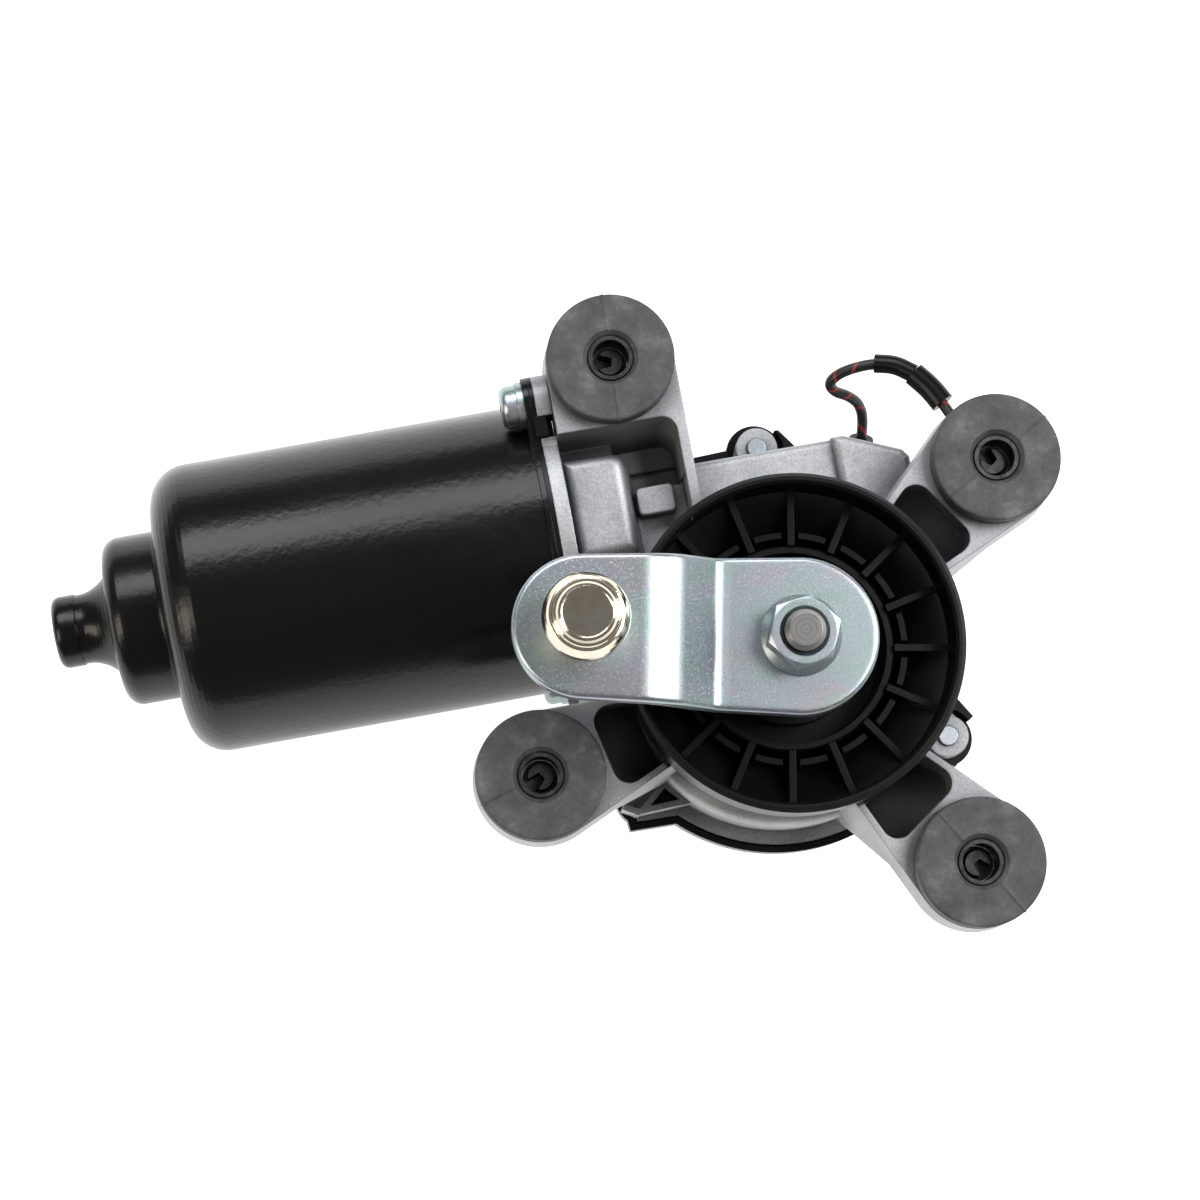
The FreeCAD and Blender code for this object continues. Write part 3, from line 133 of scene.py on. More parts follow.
def makeFloor():
    # one square with a matt white paper finish, lit a little from inside
    mesh = bpy.data.meshes.new("floor")
    reach = studio["floorReach"]
    corners = [(x * reach, y * reach, floorHeight) for x, y in ((-1, -1), (1, -1), (1, 1), (-1, 1))]
    mesh.from_pydata(corners, [], [(0, 1, 2, 3)])
    floor = bpy.data.objects.new("floor", mesh)
    bpy.context.scene.collection.objects.link(floor)
    material, tree = startMaterial("paperSweep")
    shader = addNode(tree, "ShaderNodeBsdfPrincipled",
                     {"Base Color": rgba(studio["floorColor"]), "Roughness": 0.9,
                      "Specular IOR Level": 0.1, "Emission Strength": studio["floorGlow"],
                      "Emission Color": rgba("#ffffff")})
    addNode(tree, "ShaderNodeOutputMaterial", links={"Surface": (shader, "BSDF")})
    mesh.materials.append(material)


def makeLight(name, place, size, power, color):
    # a rectangular soft box that looks at the object
    lamp = bpy.data.lights.new(name, "AREA")
    lamp.shape = "RECTANGLE"
    lamp.size, lamp.size_y = size
    lamp.energy = power
    lamp.color = linear(color)
    holder = bpy.data.objects.new(name, lamp)
    holder.location = place
    holder.rotation_euler = (-Vector(place)).to_track_quat("-Z", "Y").to_euler()
    bpy.context.scene.collection.objects.link(holder)


def makeStudio():
    makeCamera()
    makeFloor()
    world = bpy.data.worlds.new("studio")
    world.use_nodes = True
    world.node_tree.nodes["Background"].inputs["Color"].default_value = rgba("#ffffff")
    world.node_tree.nodes["Background"].inputs["Strength"].default_value = studio["worldStrength"]
    bpy.context.scene.world = world
    for box in studio["softBoxes"]:
        makeLight(*box)
    bpy.context.scene.view_settings.view_transform = "Standard"
    print("studio ready")


makeStudio()


def perMm(size):
    # texture scale whose cells are this many millimetres across
    return 1 / (size * mm)


def dieCastAluminium():
    # aluminium alloy as it leaves the die, shot blasted: a satin grey with bright grains,
    # clouded over some 9 mm, and with painted shade darkening its hollows
    material, tree = startMaterial("dieCastAluminium")
    coords = addNode(tree, "ShaderNodeTexCoord")
    cloud = addNode(tree, "ShaderNodeTexNoise", {"Scale": perMm(9.0), "Detail": 4.0, "Roughness": 0.55},
                    {"Vector": (coords, "Object")})
    grain = addNode(tree, "ShaderNodeTexNoise",                # blasted grain, drawn coarser to show
                    {"Scale": perMm(0.45), "Detail": 2.0, "Roughness": 0.7},
                    {"Vector": (coords, "Object")})
    tone = addNode(tree, "ShaderNodeValToRGB", links={"Fac": (cloud, "Fac")},
                   stops=[(0.3, "#9b9d9f"), (0.7, "#b3b4b6")])
    spark = addNode(tree, "ShaderNodeValToRGB", links={"Fac": (grain, "Fac")},
                    stops=[(0.36, "#dedede"), (0.5, "#f2f2f2"), (0.66, "#ffffff")])
    cast = addNode(tree, "ShaderNodeMix", {"Factor": 1.0}, {"A": (tone, "Color"), "B": (spark, "Color")},
                   data_type="RGBA", blend_type="MULTIPLY")
    # painted shade: ambient occlusion darkens the colour in the hollows and pockets
    hollow = addNode(tree, "ShaderNodeAmbientOcclusion", {"Distance": 10.0 * mm}, samples=6)
    paintedHollowShade = addNode(tree, "ShaderNodeValToRGB", links={"Fac": (hollow, "AO")},
                    stops=[(0.25, "#8a8b8e"), (0.95, "#ffffff")])
    shaded = addNode(tree, "ShaderNodeMix", {"Factor": 1.0}, {"A": (cast, "Result"), "B": (paintedHollowShade, "Color")},
                     data_type="RGBA", blend_type="MULTIPLY")
    edges = addNode(tree, "ShaderNodeBevel", {"Radius": 0.5 * mm}, samples=4)
    pitted = addNode(tree, "ShaderNodeBump", {"Distance": 0.022 * mm, "Strength": 1.0},
                     {"Height": (grain, "Fac"), "Normal": (edges, "Normal")})
    wavy = addNode(tree, "ShaderNodeBump", {"Distance": 0.12 * mm, "Strength": 1.0},
                   {"Height": (cloud, "Fac"), "Normal": (pitted, "Normal")})
    shader = addNode(tree, "ShaderNodeBsdfPrincipled", {"Metallic": 0.74, "Roughness": 0.5},
                     {"Base Color": (shaded, "Result"), "Normal": (wavy, "Normal")})
    addNode(tree, "ShaderNodeOutputMaterial", links={"Surface": (shader, "BSDF")})
    return material


def blackStoveEnamel():
    # black enamel baked on the drawn casing: high gloss with orange peel of 1.5 mm, and a haze
    # drawn out along the casing
    material, tree = startMaterial("blackStoveEnamel")
    coords = addNode(tree, "ShaderNodeTexCoord")
    peel = addNode(tree, "ShaderNodeTexNoise", {"Scale": perMm(1.5), "Detail": 2.0, "Roughness": 0.55},
                   {"Vector": (coords, "Object")})
    drawn = addNode(tree, "ShaderNodeMapping", {"Scale": (0.35, 1, 1)}, {"Vector": (coords, "Object")})
    haze = addNode(tree, "ShaderNodeTexNoise", {"Scale": perMm(12.0), "Detail": 3.0, "Roughness": 0.6},
                   {"Vector": (drawn, "Vector")})
    sheen = addNode(tree, "ShaderNodeValToRGB", links={"Fac": (haze, "Fac")},
                    stops=[(0.35, "#828282"), (0.75, "#949494")])
    edges = addNode(tree, "ShaderNodeBevel", {"Radius": 0.3 * mm}, samples=4)
    wavy = addNode(tree, "ShaderNodeBump", {"Distance": 0.06 * mm, "Strength": 1.0},
                   {"Height": (peel, "Fac"), "Normal": (edges, "Normal")})
    shader = addNode(tree, "ShaderNodeBsdfPrincipled",
                     {"Base Color": rgba("#060606"), "Specular IOR Level": 0.28},
                     {"Roughness": (sheen, "Color"), "Normal": (wavy, "Normal")})
    addNode(tree, "ShaderNodeOutputMaterial", links={"Surface": (shader, "BSDF")})
    return material


def blackPolypropylene():
    # moulded black polypropylene: satin, with faint flow marks and a few dust specks
    material, tree = startMaterial("blackPolypropylene")
    coords = addNode(tree, "ShaderNodeTexCoord")
    flow = addNode(tree, "ShaderNodeTexNoise", {"Scale": perMm(7.0), "Detail": 3.0, "Roughness": 0.55},
                   {"Vector": (coords, "Object")})
    dust = addNode(tree, "ShaderNodeTexNoise", {"Scale": perMm(1.1), "Detail": 1.0, "Roughness": 0.4},
                   {"Vector": (coords, "Object")})
    base = addNode(tree, "ShaderNodeValToRGB", links={"Fac": (flow, "Fac")},
                   stops=[(0.3, "#060607"), (0.75, "#0b0b0c")])
    specks = addNode(tree, "ShaderNodeValToRGB", links={"Fac": (dust, "Fac")},
                     stops=[(0.80, "#000000"), (0.84, "#8a8a8a")])
    dusty = addNode(tree, "ShaderNodeMix", {"Factor": 1.0}, {"A": (base, "Color"), "B": (specks, "Color")},
                    data_type="RGBA", blend_type="ADD")
    edges = addNode(tree, "ShaderNodeBevel", {"Radius": 0.18 * mm}, samples=4)
    wavy = addNode(tree, "ShaderNodeBump", {"Distance": 0.06 * mm, "Strength": 1.0},
                   {"Height": (flow, "Fac"), "Normal": (edges, "Normal")})
    shader = addNode(tree, "ShaderNodeBsdfPrincipled", {"Roughness": 0.3, "Specular IOR Level": 0.2},
                     {"Base Color": (dusty, "Result"), "Normal": (wavy, "Normal")})
    addNode(tree, "ShaderNodeOutputMaterial", links={"Surface": (shader, "BSDF")})
    return material


def greyEpdmRubber():
    # compression-moulded EPDM with talc on it: matt grey, mottled over 5.5 mm and finely streaked
    material, tree = startMaterial("greyEpdmRubber")
    coords = addNode(tree, "ShaderNodeTexCoord")
    blotch = addNode(tree, "ShaderNodeTexNoise", {"Scale": perMm(5.5), "Detail": 5.0, "Roughness": 0.62},
                     {"Vector": (coords, "Object")})
    streak = addNode(tree, "ShaderNodeTexNoise", {"Scale": perMm(0.9), "Detail": 4.0, "Roughness": 0.7},
                     {"Vector": (coords, "Object")})
    base = addNode(tree, "ShaderNodeValToRGB", links={"Fac": (blotch, "Fac")},
                   stops=[(0.3, "#37383a"), (0.55, "#4a4b4c"), (0.75, "#68696a")])
    marks = addNode(tree, "ShaderNodeValToRGB", links={"Fac": (streak, "Fac")},
                    stops=[(0.3, "#dcdcdc"), (0.7, "#ffffff")])
    talc = addNode(tree, "ShaderNodeMix", {"Factor": 1.0}, {"A": (base, "Color"), "B": (marks, "Color")},
                   data_type="RGBA", blend_type="MULTIPLY")
    edges = addNode(tree, "ShaderNodeBevel", {"Radius": 0.3 * mm}, samples=4)
    grainy = addNode(tree, "ShaderNodeBump", {"Distance": 0.05 * mm, "Strength": 1.0},
                     {"Height": (streak, "Fac"), "Normal": (edges, "Normal")})
    wavy = addNode(tree, "ShaderNodeBump", {"Distance": 0.12 * mm, "Strength": 1.0},
                   {"Height": (blotch, "Fac"), "Normal": (grainy, "Normal")})
    shader = addNode(tree, "ShaderNodeBsdfPrincipled", {"Roughness": 0.62, "Specular IOR Level": 0.35},
                     {"Base Color": (talc, "Result"), "Normal": (wavy, "Normal")})
    addNode(tree, "ShaderNodeOutputMaterial", links={"Surface": (shader, "BSDF")})
    return material


def blackNitrileRubber():
    # nitrile rubber: matt black with a fine moulded texture
    material, tree = startMaterial("blackNitrileRubber")
    coords = addNode(tree, "ShaderNodeTexCoord")
    grain = addNode(tree, "ShaderNodeTexNoise", {"Scale": perMm(0.4), "Detail": 3.0, "Roughness": 0.55},
                    {"Vector": (coords, "Object")})
    edges = addNode(tree, "ShaderNodeBevel", {"Radius": 0.2 * mm}, samples=4)
    grainy = addNode(tree, "ShaderNodeBump", {"Distance": 0.03 * mm, "Strength": 1.0},
                     {"Height": (grain, "Fac"), "Normal": (edges, "Normal")})
    shader = addNode(tree, "ShaderNodeBsdfPrincipled", {"Base Color": rgba("#0b0b0c"), "Roughness": 0.55},
                     {"Normal": (grainy, "Normal")})
    addNode(tree, "ShaderNodeOutputMaterial", links={"Surface": (shader, "BSDF")})
    return material


def brightZincPlate():
    # steel with blue passivated zinc: a bluish metal with green and pink tints over 11 mm, a
    # sparkling grain, and hairline scratches that run across the crank
    material, tree = startMaterial("brightZincPlate")
    coords = addNode(tree, "ShaderNodeTexCoord")
    tilted = addNode(tree, "ShaderNodeMapping", {"Scale": (0.6, 1.4, 1)}, {"Vector": (coords, "Object")})
    tint = addNode(tree, "ShaderNodeTexNoise", {"Scale": perMm(11.0), "Detail": 2.0, "Roughness": 0.5},
                   {"Vector": (tilted, "Vector")})
    grain = addNode(tree, "ShaderNodeTexNoise",                # zinc crystals, drawn coarser to show
                    {"Scale": perMm(0.35), "Detail": 2.0, "Roughness": 0.75},
                    {"Vector": (coords, "Object")})
    drawn = addNode(tree, "ShaderNodeMapping", {"Scale": (3.5, 0.16, 1)}, {"Vector": (coords, "Object")})
    scratch = addNode(tree, "ShaderNodeTexNoise", {"Scale": perMm(0.5), "Detail": 2.0, "Roughness": 0.6},
                      {"Vector": (drawn, "Vector")})
    base = addNode(tree, "ShaderNodeValToRGB", links={"Fac": (tint, "Fac")},
                   stops=[(0.28, "#a9c0bc"), (0.42, "#b6c6c5"), (0.52, "#bac4cc"), (0.62, "#c3c1c9"),
                          (0.75, "#b8c6be")])
    spark = addNode(tree, "ShaderNodeValToRGB", links={"Fac": (grain, "Fac")},
                    stops=[(0.5, "#d8d8d8"), (0.62, "#e2e2e2"), (0.7, "#ffffff")])
    plated = addNode(tree, "ShaderNodeMix", {"Factor": 1.0}, {"A": (base, "Color"), "B": (spark, "Color")},
                     data_type="RGBA", blend_type="MULTIPLY")
    polish = addNode(tree, "ShaderNodeValToRGB", links={"Fac": (grain, "Fac")},
                     stops=[(0.58, "#9c9c9c"), (0.68, "#c8c8c8")])
    edges = addNode(tree, "ShaderNodeBevel", {"Radius": 0.3 * mm}, samples=4)
    grainy = addNode(tree, "ShaderNodeBump", {"Distance": 0.006 * mm, "Strength": 1.0},
                     {"Height": (grain, "Fac"), "Normal": (edges, "Normal")})
    scratched = addNode(tree, "ShaderNodeBump", {"Distance": 0.008 * mm, "Strength": 1.0},
                        {"Height": (scratch, "Fac"), "Normal": (grainy, "Normal")})
    shader = addNode(tree, "ShaderNodeBsdfPrincipled", {"Metallic": 1.0},
                     {"Base Color": (plated, "Result"), "Roughness": (polish, "Color"),
                      "Normal": (scratched, "Normal")})
    addNode(tree, "ShaderNodeOutputMaterial", links={"Surface": (shader, "BSDF")})
    return material


def turnedSteel():
    # bright turned steel: faint rings round the output shaft's axis, drawn coarser to show
    material, tree = startMaterial("turnedSteel")
    coords = addNode(tree, "ShaderNodeTexCoord")
    rings = addNode(tree, "ShaderNodeTexWave", {"Scale": perMm(3.0), "Distortion": 0.6, "Detail": 2.0},
                    {"Vector": (coords, "Object")}, wave_type="RINGS", rings_direction="Z")
    base = addNode(tree, "ShaderNodeValToRGB", links={"Fac": (rings, "Fac")},
                   stops=[(0.0, "#8b8a88"), (0.6, "#8f8e8c"), (1.0, "#969593")])
    edges = addNode(tree, "ShaderNodeBevel", {"Radius": 0.2 * mm}, samples=4)
    turned = addNode(tree, "ShaderNodeBump", {"Distance": 0.004 * mm, "Strength": 1.0},
                     {"Height": (rings, "Fac"), "Normal": (edges, "Normal")})
    shader = addNode(tree, "ShaderNodeBsdfPrincipled", {"Metallic": 1.0, "Roughness": 0.3},
                     {"Base Color": (base, "Color"), "Normal": (turned, "Normal")})
    addNode(tree, "ShaderNodeOutputMaterial", links={"Surface": (shader, "BSDF")})
    return material


def polishedNickel():
    # nickel plate on a polished ball: mirror-like and slightly warm, with hairline scratches
    material, tree = startMaterial("polishedNickel")
    coords = addNode(tree, "ShaderNodeTexCoord")
    drawn = addNode(tree, "ShaderNodeMapping", {"Scale": (0.3, 2.4, 1)}, {"Vector": (coords, "Object")})
    scratch = addNode(tree, "ShaderNodeTexNoise", {"Scale": perMm(0.6), "Detail": 3.0, "Roughness": 0.6},
                      {"Vector": (drawn, "Vector")})
    stain = addNode(tree, "ShaderNodeTexNoise", {"Scale": perMm(3.5), "Detail": 3.0, "Roughness": 0.55},
                    {"Vector": (coords, "Object")})
    base = addNode(tree, "ShaderNodeValToRGB", links={"Fac": (stain, "Fac")},
                   stops=[(0.3, "#c4b9a6"), (0.7, "#d8d0c0")])
    edges = addNode(tree, "ShaderNodeBevel", {"Radius": 0.15 * mm}, samples=4)
    scratched = addNode(tree, "ShaderNodeBump", {"Distance": 0.012 * mm, "Strength": 1.0},
                        {"Height": (scratch, "Fac"), "Normal": (edges, "Normal")})
    shader = addNode(tree, "ShaderNodeBsdfPrincipled", {"Metallic": 1.0, "Roughness": 0.14},
                     {"Base Color": (base, "Color"), "Normal": (scratched, "Normal")})
    addNode(tree, "ShaderNodeOutputMaterial", links={"Surface": (shader, "BSDF")})
    return material


def grainedFinish(name, metallic, low, high, roughness, size, depth):
    # a colour clouded between two tones, and a surface grain of the given size and depth in mm
    material, tree = startMaterial(name)
    coords = addNode(tree, "ShaderNodeTexCoord")
    cloud = addNode(tree, "ShaderNodeTexNoise", {"Scale": perMm(size * 8), "Detail": 3.0, "Roughness": 0.55},
                    {"Vector": (coords, "Object")})
    grain = addNode(tree, "ShaderNodeTexNoise", {"Scale": perMm(size), "Detail": 2.0, "Roughness": 0.7},
                    {"Vector": (coords, "Object")})
    base = addNode(tree, "ShaderNodeValToRGB", links={"Fac": (cloud, "Fac")},
                   stops=[(0.3, low), (0.7, high)])
    edges = addNode(tree, "ShaderNodeBevel", {"Radius": 0.15 * mm}, samples=4)
    grainy = addNode(tree, "ShaderNodeBump", {"Distance": depth * mm, "Strength": 1.0},
                     {"Height": (grain, "Fac"), "Normal": (edges, "Normal")})
    shader = addNode(tree, "ShaderNodeBsdfPrincipled", {"Metallic": metallic, "Roughness": roughness},
                     {"Base Color": (base, "Color"), "Normal": (grainy, "Normal")})
    addNode(tree, "ShaderNodeOutputMaterial", links={"Surface": (shader, "BSDF")})
    return material


def laminationSteel():
    # electrical steel sheets, 0.5 mm each, stacked along the motor's axis
    material, tree = startMaterial("laminationSteel")
    coords = addNode(tree, "ShaderNodeTexCoord")
    sheets = addNode(tree, "ShaderNodeTexWave", {"Scale": perMm(10.0), "Distortion": 0.2},
                     {"Vector": (coords, "Object")}, wave_type="BANDS", bands_direction="X")
    base = addNode(tree, "ShaderNodeValToRGB", links={"Fac": (sheets, "Fac")},
                   stops=[(0.1, "#3c3d40"), (0.6, "#7c7d80")])
    stacked = addNode(tree, "ShaderNodeBump", {"Distance": 0.05 * mm, "Strength": 1.0},
                      {"Height": (sheets, "Fac")})
    shader = addNode(tree, "ShaderNodeBsdfPrincipled", {"Metallic": 1.0, "Roughness": 0.5},
                     {"Base Color": (base, "Color"), "Normal": (stacked, "Normal")})
    addNode(tree, "ShaderNodeOutputMaterial", links={"Surface": (shader, "BSDF")})
    return material


def pvcInsulation():
    # extruded PVC: soft black gloss, with a red tracer printed as slanting dashes along the UV
    material, tree = startMaterial("pvcInsulation")
    coords = addNode(tree, "ShaderNodeTexCoord")
    slant = addNode(tree, "ShaderNodeMapping", {"Rotation": (0, 0, -0.1)}, {"Vector": (coords, "UV")})
    wound = addNode(tree, "ShaderNodeTexWave", {"Scale": math.pi}, {"Vector": (slant, "Vector")},
                    wave_type="BANDS", bands_direction="X")
    dashes = addNode(tree, "ShaderNodeValToRGB", links={"Fac": (wound, "Fac")},
                     stops=[(0.93, "#0c0c0d"), (0.97, "#7c1f1c")])
    shader = addNode(tree, "ShaderNodeBsdfPrincipled", {"Roughness": 0.38},
                     {"Base Color": (dashes, "Color")})
    addNode(tree, "ShaderNodeOutputMaterial", links={"Surface": (shader, "BSDF")})
    return material


finishes = {
    "die_cast_aluminium": dieCastAluminium(),
    "black_enamel": blackStoveEnamel(),
    "black_moulding": blackPolypropylene(),
    "grey_rubber": greyEpdmRubber(),
    "black_rubber": blackNitrileRubber(),
    "zinc_plated_steel": brightZincPlate(),
    "turned_steel": turnedSteel(),
    "nickel_plate": polishedNickel(),
    # porous bronze, oil-soaked and dull
    "sintered_bronze": grainedFinish("sinteredBronze", 1.0, "#8a6436", "#b08449", 0.5, 0.3, 0.05),
    # hard fired ferrite, ground on its faces
    "ferrite": grainedFinish("firedFerrite", 0.0, "#242426", "#343437", 0.7, 0.4, 0.05),
    "lamination_steel": laminationSteel(),
    # copper wire under clear enamel
    "enamelled_copper": grainedFinish("enamelledCopper", 1.0, "#8a3f20", "#b5602f", 0.32, 0.8, 0.2),
    # bare drawn copper, turned on its outside
    "copper": grainedFinish("bareCopper", 1.0, "#b06a48", "#cf8a63", 0.3, 0.4, 0.03),
    # pressed carbon with copper powder
    "carbon": grainedFinish("copperCarbon", 0.0, "#1b1a1a", "#332b27", 0.6, 0.3, 0.04),
    # natural nylon, slightly yellow and waxy
    "white_nylon": grainedFinish("naturalNylon", 0.0, "#d9d3bf", "#e8e3d2", 0.42, 0.8, 0.03),
    "lead_insulation": pvcInsulation(),
    # brass strip with a thin coat of tin
    "tinned_brass": grainedFinish("tinnedBrass", 1.0, "#b9b3a2", "#cfcabb", 0.28, 0.5, 0.02),
}

# steel inside the mounts, dull and nearly black as painted shade in the bores
darkBoreShadeSteel = grainedFinish("darkBoreShadeSteel", 1.0, "#2e2e2f", "#4a4a4b", 0.4, 0.3, 0.03)

for part in frame["record"]["subparts"]:
    node = frame["nodes"][part["node"]]
    # the mounts' collars take the dark steel, as painted shade in the bores
    inMount = part["node"].startswith("mount_collar")
    node.data.materials.clear()
    node.data.materials.append(darkBoreShadeSteel if inMount else finishes[part["material_slot"]])
print("materials ready")


# how near points are joined, in mm, and the angle in degrees past which an edge stays sharp
meshing = {"joinDistance": 0.002, "sharpAngle": 34}


def gridPiece(name, places, wrapRows=False):
    # closed surface from an array of rows of points in mm; each row closes on itself,
    # and points that coincide, as at a pole or along a spine, are joined
    rows, columns, _ = places.shape
    index = np.arange(rows * columns).reshape(rows, columns)
    nextRow = np.roll(index, -1, axis=0)
    if not wrapRows:
        index, nextRow = index[:-1], nextRow[:-1]
    quads = np.stack([index, np.roll(index, -1, axis=1), np.roll(nextRow, -1, axis=1), nextRow], axis=-1)
    mesh = bpy.data.meshes.new(name)
    mesh.from_pydata((places.reshape(-1, 3) * mm).tolist(), [], quads.reshape(-1, 4).tolist())
    shape = bmesh.new()
    shape.from_mesh(mesh)
    bmesh.ops.remove_doubles(shape, verts=shape.verts, dist=meshing["joinDistance"] * mm)
    bmesh.ops.recalc_face_normals(shape, faces=shape.faces)
    shape.to_mesh(mesh)
    shape.free()
    mesh.polygons.foreach_set("use_smooth", [True] * len(mesh.polygons))
    mesh.set_sharp_from_angle(angle=math.radians(meshing["sharpAngle"]))
    piece = bpy.data.objects.new(name, mesh)
    bpy.context.scene.collection.objects.link(piece)
    return piece


def finishPiece(piece, slotName, body, nodeName=None, material=None):
    # gives a new piece its finish and its body, and hides the CAD node that it stands for
    piece.data.materials.append(material or finishes[slotName])
    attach(piece, body)
    if nodeName:
        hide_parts(nodeName)


def nodeCentre(nodeName):
    # middle of a node's box, in mm
    low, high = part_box(nodeName)
    return [(low[i] + high[i]) / 2 / mm for i in range(3)]


# rubber mounts, in mm, with depths below their front face, and angles in degrees
mount = {
    "radius": 12.3, "bore": 4.27, "waist": 7.95, "backRadius": 11.0,
    "disc": 4.45, "eye": 13.55, "back": 18.0,  # depths of the front disc, the waist and the whole
    "mouth": 1.9, "mouthRun": 0.55, "mouthLip": 0.6, "lead": 0.95, "leadRound": 0.35, "leadInset": 0.25,
    "frontRings": [6.4, 8.0, 9.6, 10.8],       # radii, so that the front isn't one long face
    "rimRound": 0.6, "rimEnd": 2.4, "discRound": 0.3, "backChamfer": 0.6, "backChamferDepth": 0.7,
    "seams": [-92.5, 30.0, 16.2, -59.2],       # direction of each one's mould line
    "seamHeight": 0.2, "seamWidth": 0.2, "frontDepth": 0.7, "frontInset": 0.9, "rimInset": 0.2,
    "nearSeam": [-3.0, -2.0, -1.3, -0.8, -0.4, 0, 0.4, 0.8, 1.3, 2.0, 3.0], "step": 3.5,
}

# stepped dark discs in the mounts' sleeves, put there as painted shade in the bores; in mm, with heights
# above the mount's front face
boreShade = {
    "radius": 3.42, "disc": 2.5, "front": -5.2, "floor": -8.6, "back": -9.6, "stepRun": 0.14,
    "notches": [169.6, 124.6, 214.6, 304.6],   # direction of each one's notch, degrees
    "notchWidth": 0.75, "notchFlare": 0.25, "notchWall": 0.2, "notchStart": 0.3,
}


def roundCorner(r, z, size, start):
    # quarter circle of points for a profile, from the given direction
    angles = np.radians(np.linspace(start, start - 90, 7))
    return np.stack([r + size * np.cos(angles), z + size * np.sin(angles)], axis=1)


def makeGrommet(number, seam):
    # radius and height of a spool's outline, turned round the axis; along one diameter the front
    # and the rim are raised by a bell curve of the distance from that diameter
    m = mount
    outline = np.concatenate([
        [[m["bore"], -m["back"]], [m["bore"], -m["mouth"]],
         [m["bore"] + m["mouthRun"], -m["mouthLip"]]],
        roundCorner(m["bore"] + m["lead"] + m["leadInset"], -m["leadRound"], m["leadRound"], 180),
        [[r, 0.0] for r in m["frontRings"]],
        roundCorner(m["radius"] - m["rimRound"], -m["rimRound"], m["rimRound"], 90),
        [[m["radius"], -m["rimEnd"]]],
        roundCorner(m["radius"] - m["discRound"], -m["disc"] + m["discRound"], m["discRound"], 0),
        [[m["waist"], -m["disc"]], [m["waist"], -m["eye"]], [m["backRadius"] - m["discRound"], -m["eye"]],
         [m["backRadius"], -m["eye"] - m["discRound"]],
         [m["backRadius"], -m["back"] + m["backChamferDepth"]],
         [m["backRadius"] - m["backChamfer"], -m["back"]]]])
    near = np.array(m["nearSeam"])
    between = np.arange(6, 175, m["step"])
    turns = np.sort(np.concatenate([seam + near, seam + 180 + near, seam + between, seam + 180 + between]))
    angle = np.radians(turns)[None, :]
    r, z = outline[:, 0][:, None], outline[:, 1][:, None]
    aside = r * np.sin(angle - math.radians(seam))
    ridge = m["seamHeight"] * np.exp(-(aside / m["seamWidth"]) ** 2)
    front = np.clip((z + m["frontDepth"]) / m["frontDepth"], 0, 1) * (r > m["bore"] + m["frontInset"])
    rim = (r > m["radius"] - m["rimInset"]) * (1 - front)
    cx, cy, _ = nodeCentre("mount_grommet_%d" % number)
    wide = r + ridge * rim
    places = np.stack([cx + wide * np.cos(angle), cy + wide * np.sin(angle), z + ridge * front], axis=-1)
    piece = gridPiece("grommet%d" % number, places, wrapRows=True)
    finishPiece(piece, "grey_rubber", "housing", "mount_grommet_%d" % number)


# a dark disc that stands in for the shade seen inside a mount's bore
def makeBoreShade(number, notch):
    # a stepped disc in polar rows: high within the inner radius, low outside it and in a notch
    # that runs from the rim to just past the centre; a smooth step joins the two levels
    t = boreShade
    radii = np.concatenate([[0.001], np.linspace(0.2, t["radius"], 30)])[:, None]
    angle = np.radians(np.arange(0, 360, 3.0))[None, :]
    along = radii * np.cos(angle - math.radians(notch))
    across = np.abs(radii * np.sin(angle - math.radians(notch)))
    inDisc = np.clip((t["disc"] - radii) / t["stepRun"] + 0.5, 0, 1)
    inNotch = np.clip((t["notchWidth"] + t["notchFlare"] * along - across) / t["notchWall"] + 0.5, 0, 1)
    inNotch = inNotch * np.clip((along + t["notchStart"]) / t["notchStart"], 0, 1)
    height = t["floor"] + (t["front"] - t["floor"]) * inDisc * (1 - inNotch)
    cx, cy, _ = nodeCentre("mount_collar_%d" % number)
    top = np.stack([cx + radii * np.cos(angle), cy + radii * np.sin(angle), height], axis=-1)
    under = top[::-1].copy()
    under[..., 2] = t["back"]
    piece = gridPiece("boreShadeDisc%d" % number, np.concatenate([top, under]))
    finishPiece(piece, "turned_steel", "housing", material=darkBoreShadeSteel)


for number in (1, 2, 3, 4):
    makeGrommet(number, mount["seams"][number - 1])
    makeBoreShade(number, boreShade["notches"][number - 1])
print("mounts made")


# the arm that carries the ball, in mm; distances run from the shaft towards the ball
crank = {
    "direction": 168.5,                        # degrees from x at rest
    "hubRadius": 14.6, "eyeRadius": 13.2, "length": 40.0,
    "under": 12.5, "thickness": 5.0, "rise": 8.0, "bendStart": 15.7, "bendRun": 9.0, "bendRadius": 13.0,
    "creaseRun": [-2.6, -1.2, -0.5, -0.1, 0.25],
    "creaseRise": [0, 0.03, 0.12, 0.3, 0.52],  # the inside bend, height after height
    "edge": 1.0, "underEdge": 0.4,
    "pastEnds": (-20, 60),                     # distances past both ends
    "topInsets": (99, 12.6, 10.5, 8.5, 6.5, 4.8, 3.4, 2.3, 1.5),   # 99 is past the centre line
    "underInsets": (1.5, 4.0, 8.0, 12.6, 99),
}


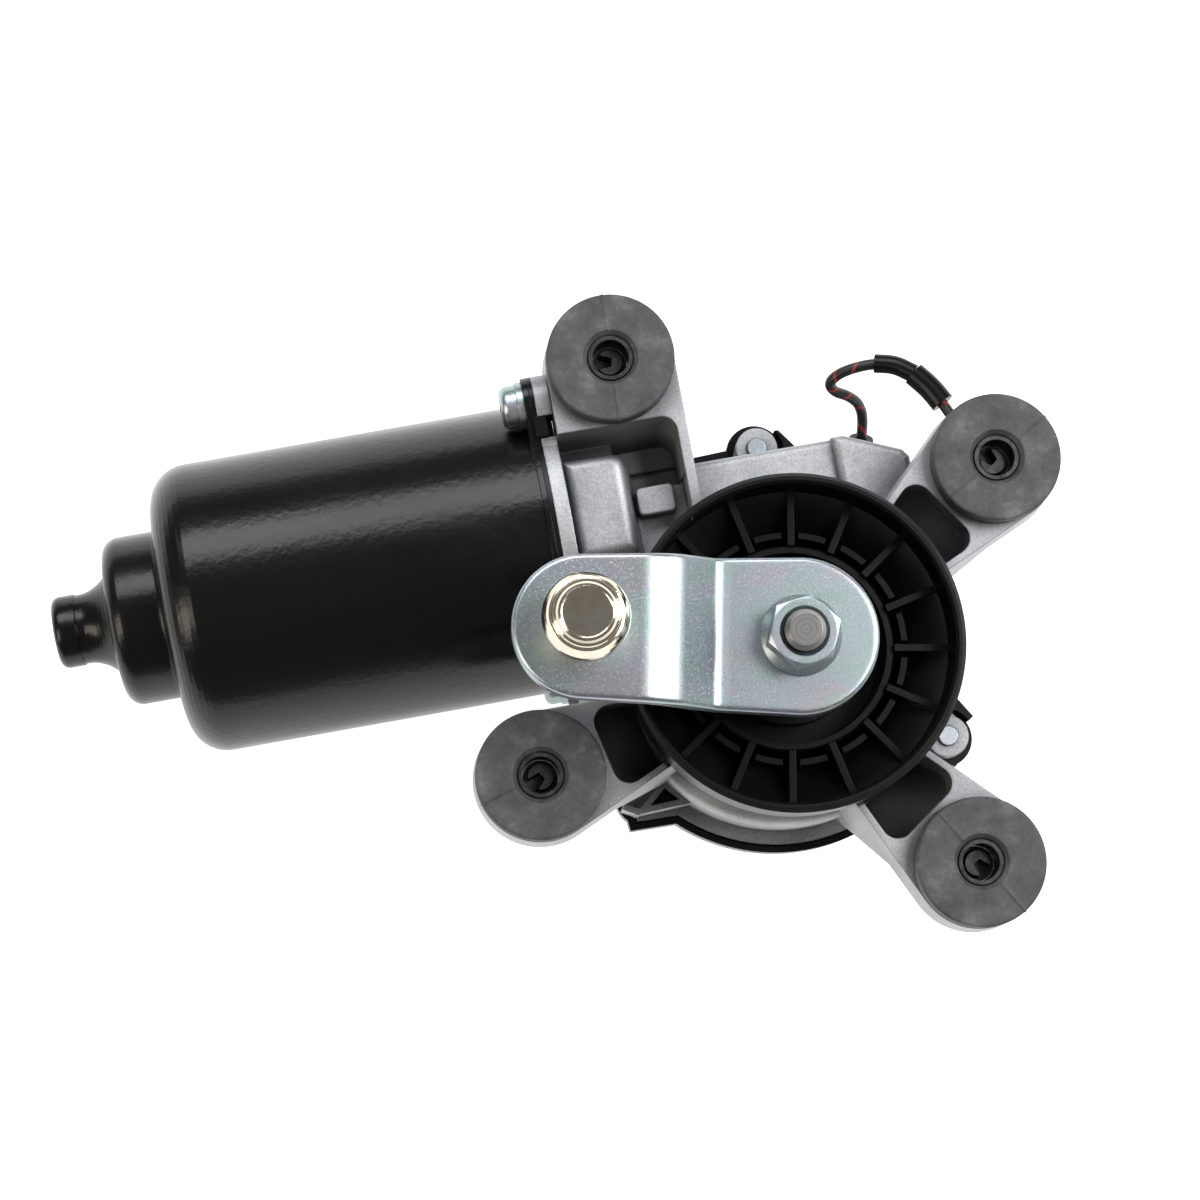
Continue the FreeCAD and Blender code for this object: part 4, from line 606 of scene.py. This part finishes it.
def crankHeights(c):
    # side outline as two tables of height against distance: level, soft crease, straight slope,
    # round bend, level
    slope = math.atan2(c["rise"], c["bendRun"])
    half = math.tan(slope / 2)
    near, far = c["pastEnds"]
    lower = c["under"] + c["thickness"]
    bends = np.radians(np.linspace(90 + math.degrees(slope), 90, 14))
    middle = c["bendStart"] + c["bendRun"] + c["bendRadius"] * half
    topU = np.concatenate([[near], c["bendStart"] + np.array(c["creaseRun"]),
                           middle + c["bendRadius"] * np.cos(bends), [far]])
    topZ = np.concatenate([[lower], lower + np.array(c["creaseRise"]),
                           lower + c["rise"] - c["bendRadius"] * (1 - np.sin(bends)), [lower + c["rise"]]])
    start = c["bendStart"] + c["thickness"] * half
    end = start + c["bendRun"]
    underU = [near, start - 2, start + 2, end - 0.6, end + 1.4, far]
    underZ = [c["under"] + z for z in (0, 0.2, 2.2, c["rise"] - 0.9, c["rise"], c["rise"])]
    return topU, topZ, underU, underZ


def makeCrankArm():
    # rings that shrink from the outline to the line between the two centres; a ring at inset d is
    # round both centres with radii less d, and its height is that of the side outline, lowered near
    # the edge by a quarter circle
    c = crank
    lean = math.acos((c["hubRadius"] - c["eyeRadius"]) / c["length"])
    hubTurn = np.linspace(lean, 2 * math.pi - lean, 72)
    eyeTurn = np.linspace(-lean, lean, 64)
    run = np.linspace(0, 1, 120)[1:-1]
    centre = np.concatenate([0 * hubTurn, run * c["length"], 0 * eyeTurn + c["length"],
                             (1 - run) * c["length"]])
    share = centre / c["length"]
    radius = c["hubRadius"] * (1 - share) + c["eyeRadius"] * share
    turn = np.concatenate([hubTurn, 0 * run - lean, eyeTurn, 0 * run + lean])
    topU, topZ, underU, underZ = crankHeights(c)

    def ring(inset, drop, top):
        reach = np.maximum(radius - inset, 0)
        u, v = centre + reach * np.cos(turn), reach * np.sin(turn)
        z = np.interp(u, topU, topZ) - drop if top else np.interp(u, underU, underZ) + drop
        return np.stack([u, v, z], axis=1)

    quarter = np.radians(np.linspace(0, 90, 8))
    rings = [ring(d, 0, True) for d in c["topInsets"]]
    rings += [ring(c["edge"] * (1 - math.sin(a)), c["edge"] * (1 - math.cos(a)), True) for a in quarter]
    rings += [ring(c["underEdge"] * (1 - math.sin(a)), c["underEdge"] * (1 - math.cos(a)), False)
              for a in quarter[::-1]]
    rings += [ring(d, 0, False) for d in c["underInsets"]]
    places = np.array(rings)
    turned = math.radians(c["direction"])
    u, v = places[..., 0].copy(), places[..., 1].copy()
    places[..., 0] = u * math.cos(turned) - v * math.sin(turned)
    places[..., 1] = u * math.sin(turned) + v * math.cos(turned)
    piece = gridPiece("crankArm", places)
    finishPiece(piece, "zinc_plated_steel", "output", "crank_arm")


makeCrankArm()
print("crank made")


# the earth wire, from its seal to its ring terminal
lead = {
    "diameter": 2.2 * mm,
    "route": [                                 # control points in mm
        (26.6, 43.4, -41.0), (27.4, 46.6, -38.4), (26.8, 49.6, -35.4), (24.4, 51.2, -32.4),
        (21.6, 52.0, -30.4), (20.4, 53.6, -28.6), (22.4, 54.9, -27.2), (25.8, 55.4, -26.0),
        (29.8, 55.3, -24.8), (33.6, 54.2, -23.8), (36.8, 51.6, -23.2), (39.4, 48.2, -22.8),
        (41.2, 44.6, -22.4), (42.6, 40.8, -21.6),
    ],
}


def smoothCord(name, route, radius):
    # a round cord along a smooth spline, with the route's points as its control points
    curve = bpy.data.curves.new(name, "CURVE")
    curve.dimensions = "3D"
    curve.bevel_depth = radius
    curve.bevel_resolution = 6
    curve.use_fill_caps = True
    spline = curve.splines.new("NURBS")
    spline.points.add(len(route) - 1)
    for point, place in zip(spline.points, route):
        point.co = (*[v * mm for v in place], 1.0)
    spline.order_u = 3
    spline.use_endpoint_u = True
    spline.resolution_u = 12
    cord = bpy.data.objects.new(name, curve)
    bpy.context.scene.collection.objects.link(cord)
    return cord


def makeLead():
    cord = smoothCord("earthLead", lead["route"], lead["diameter"] / 2)
    cord.data.materials.append(finishes["lead_insulation"])
    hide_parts("earth_lead")
    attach(cord, "housing")


makeLead()
print("earth lead made")
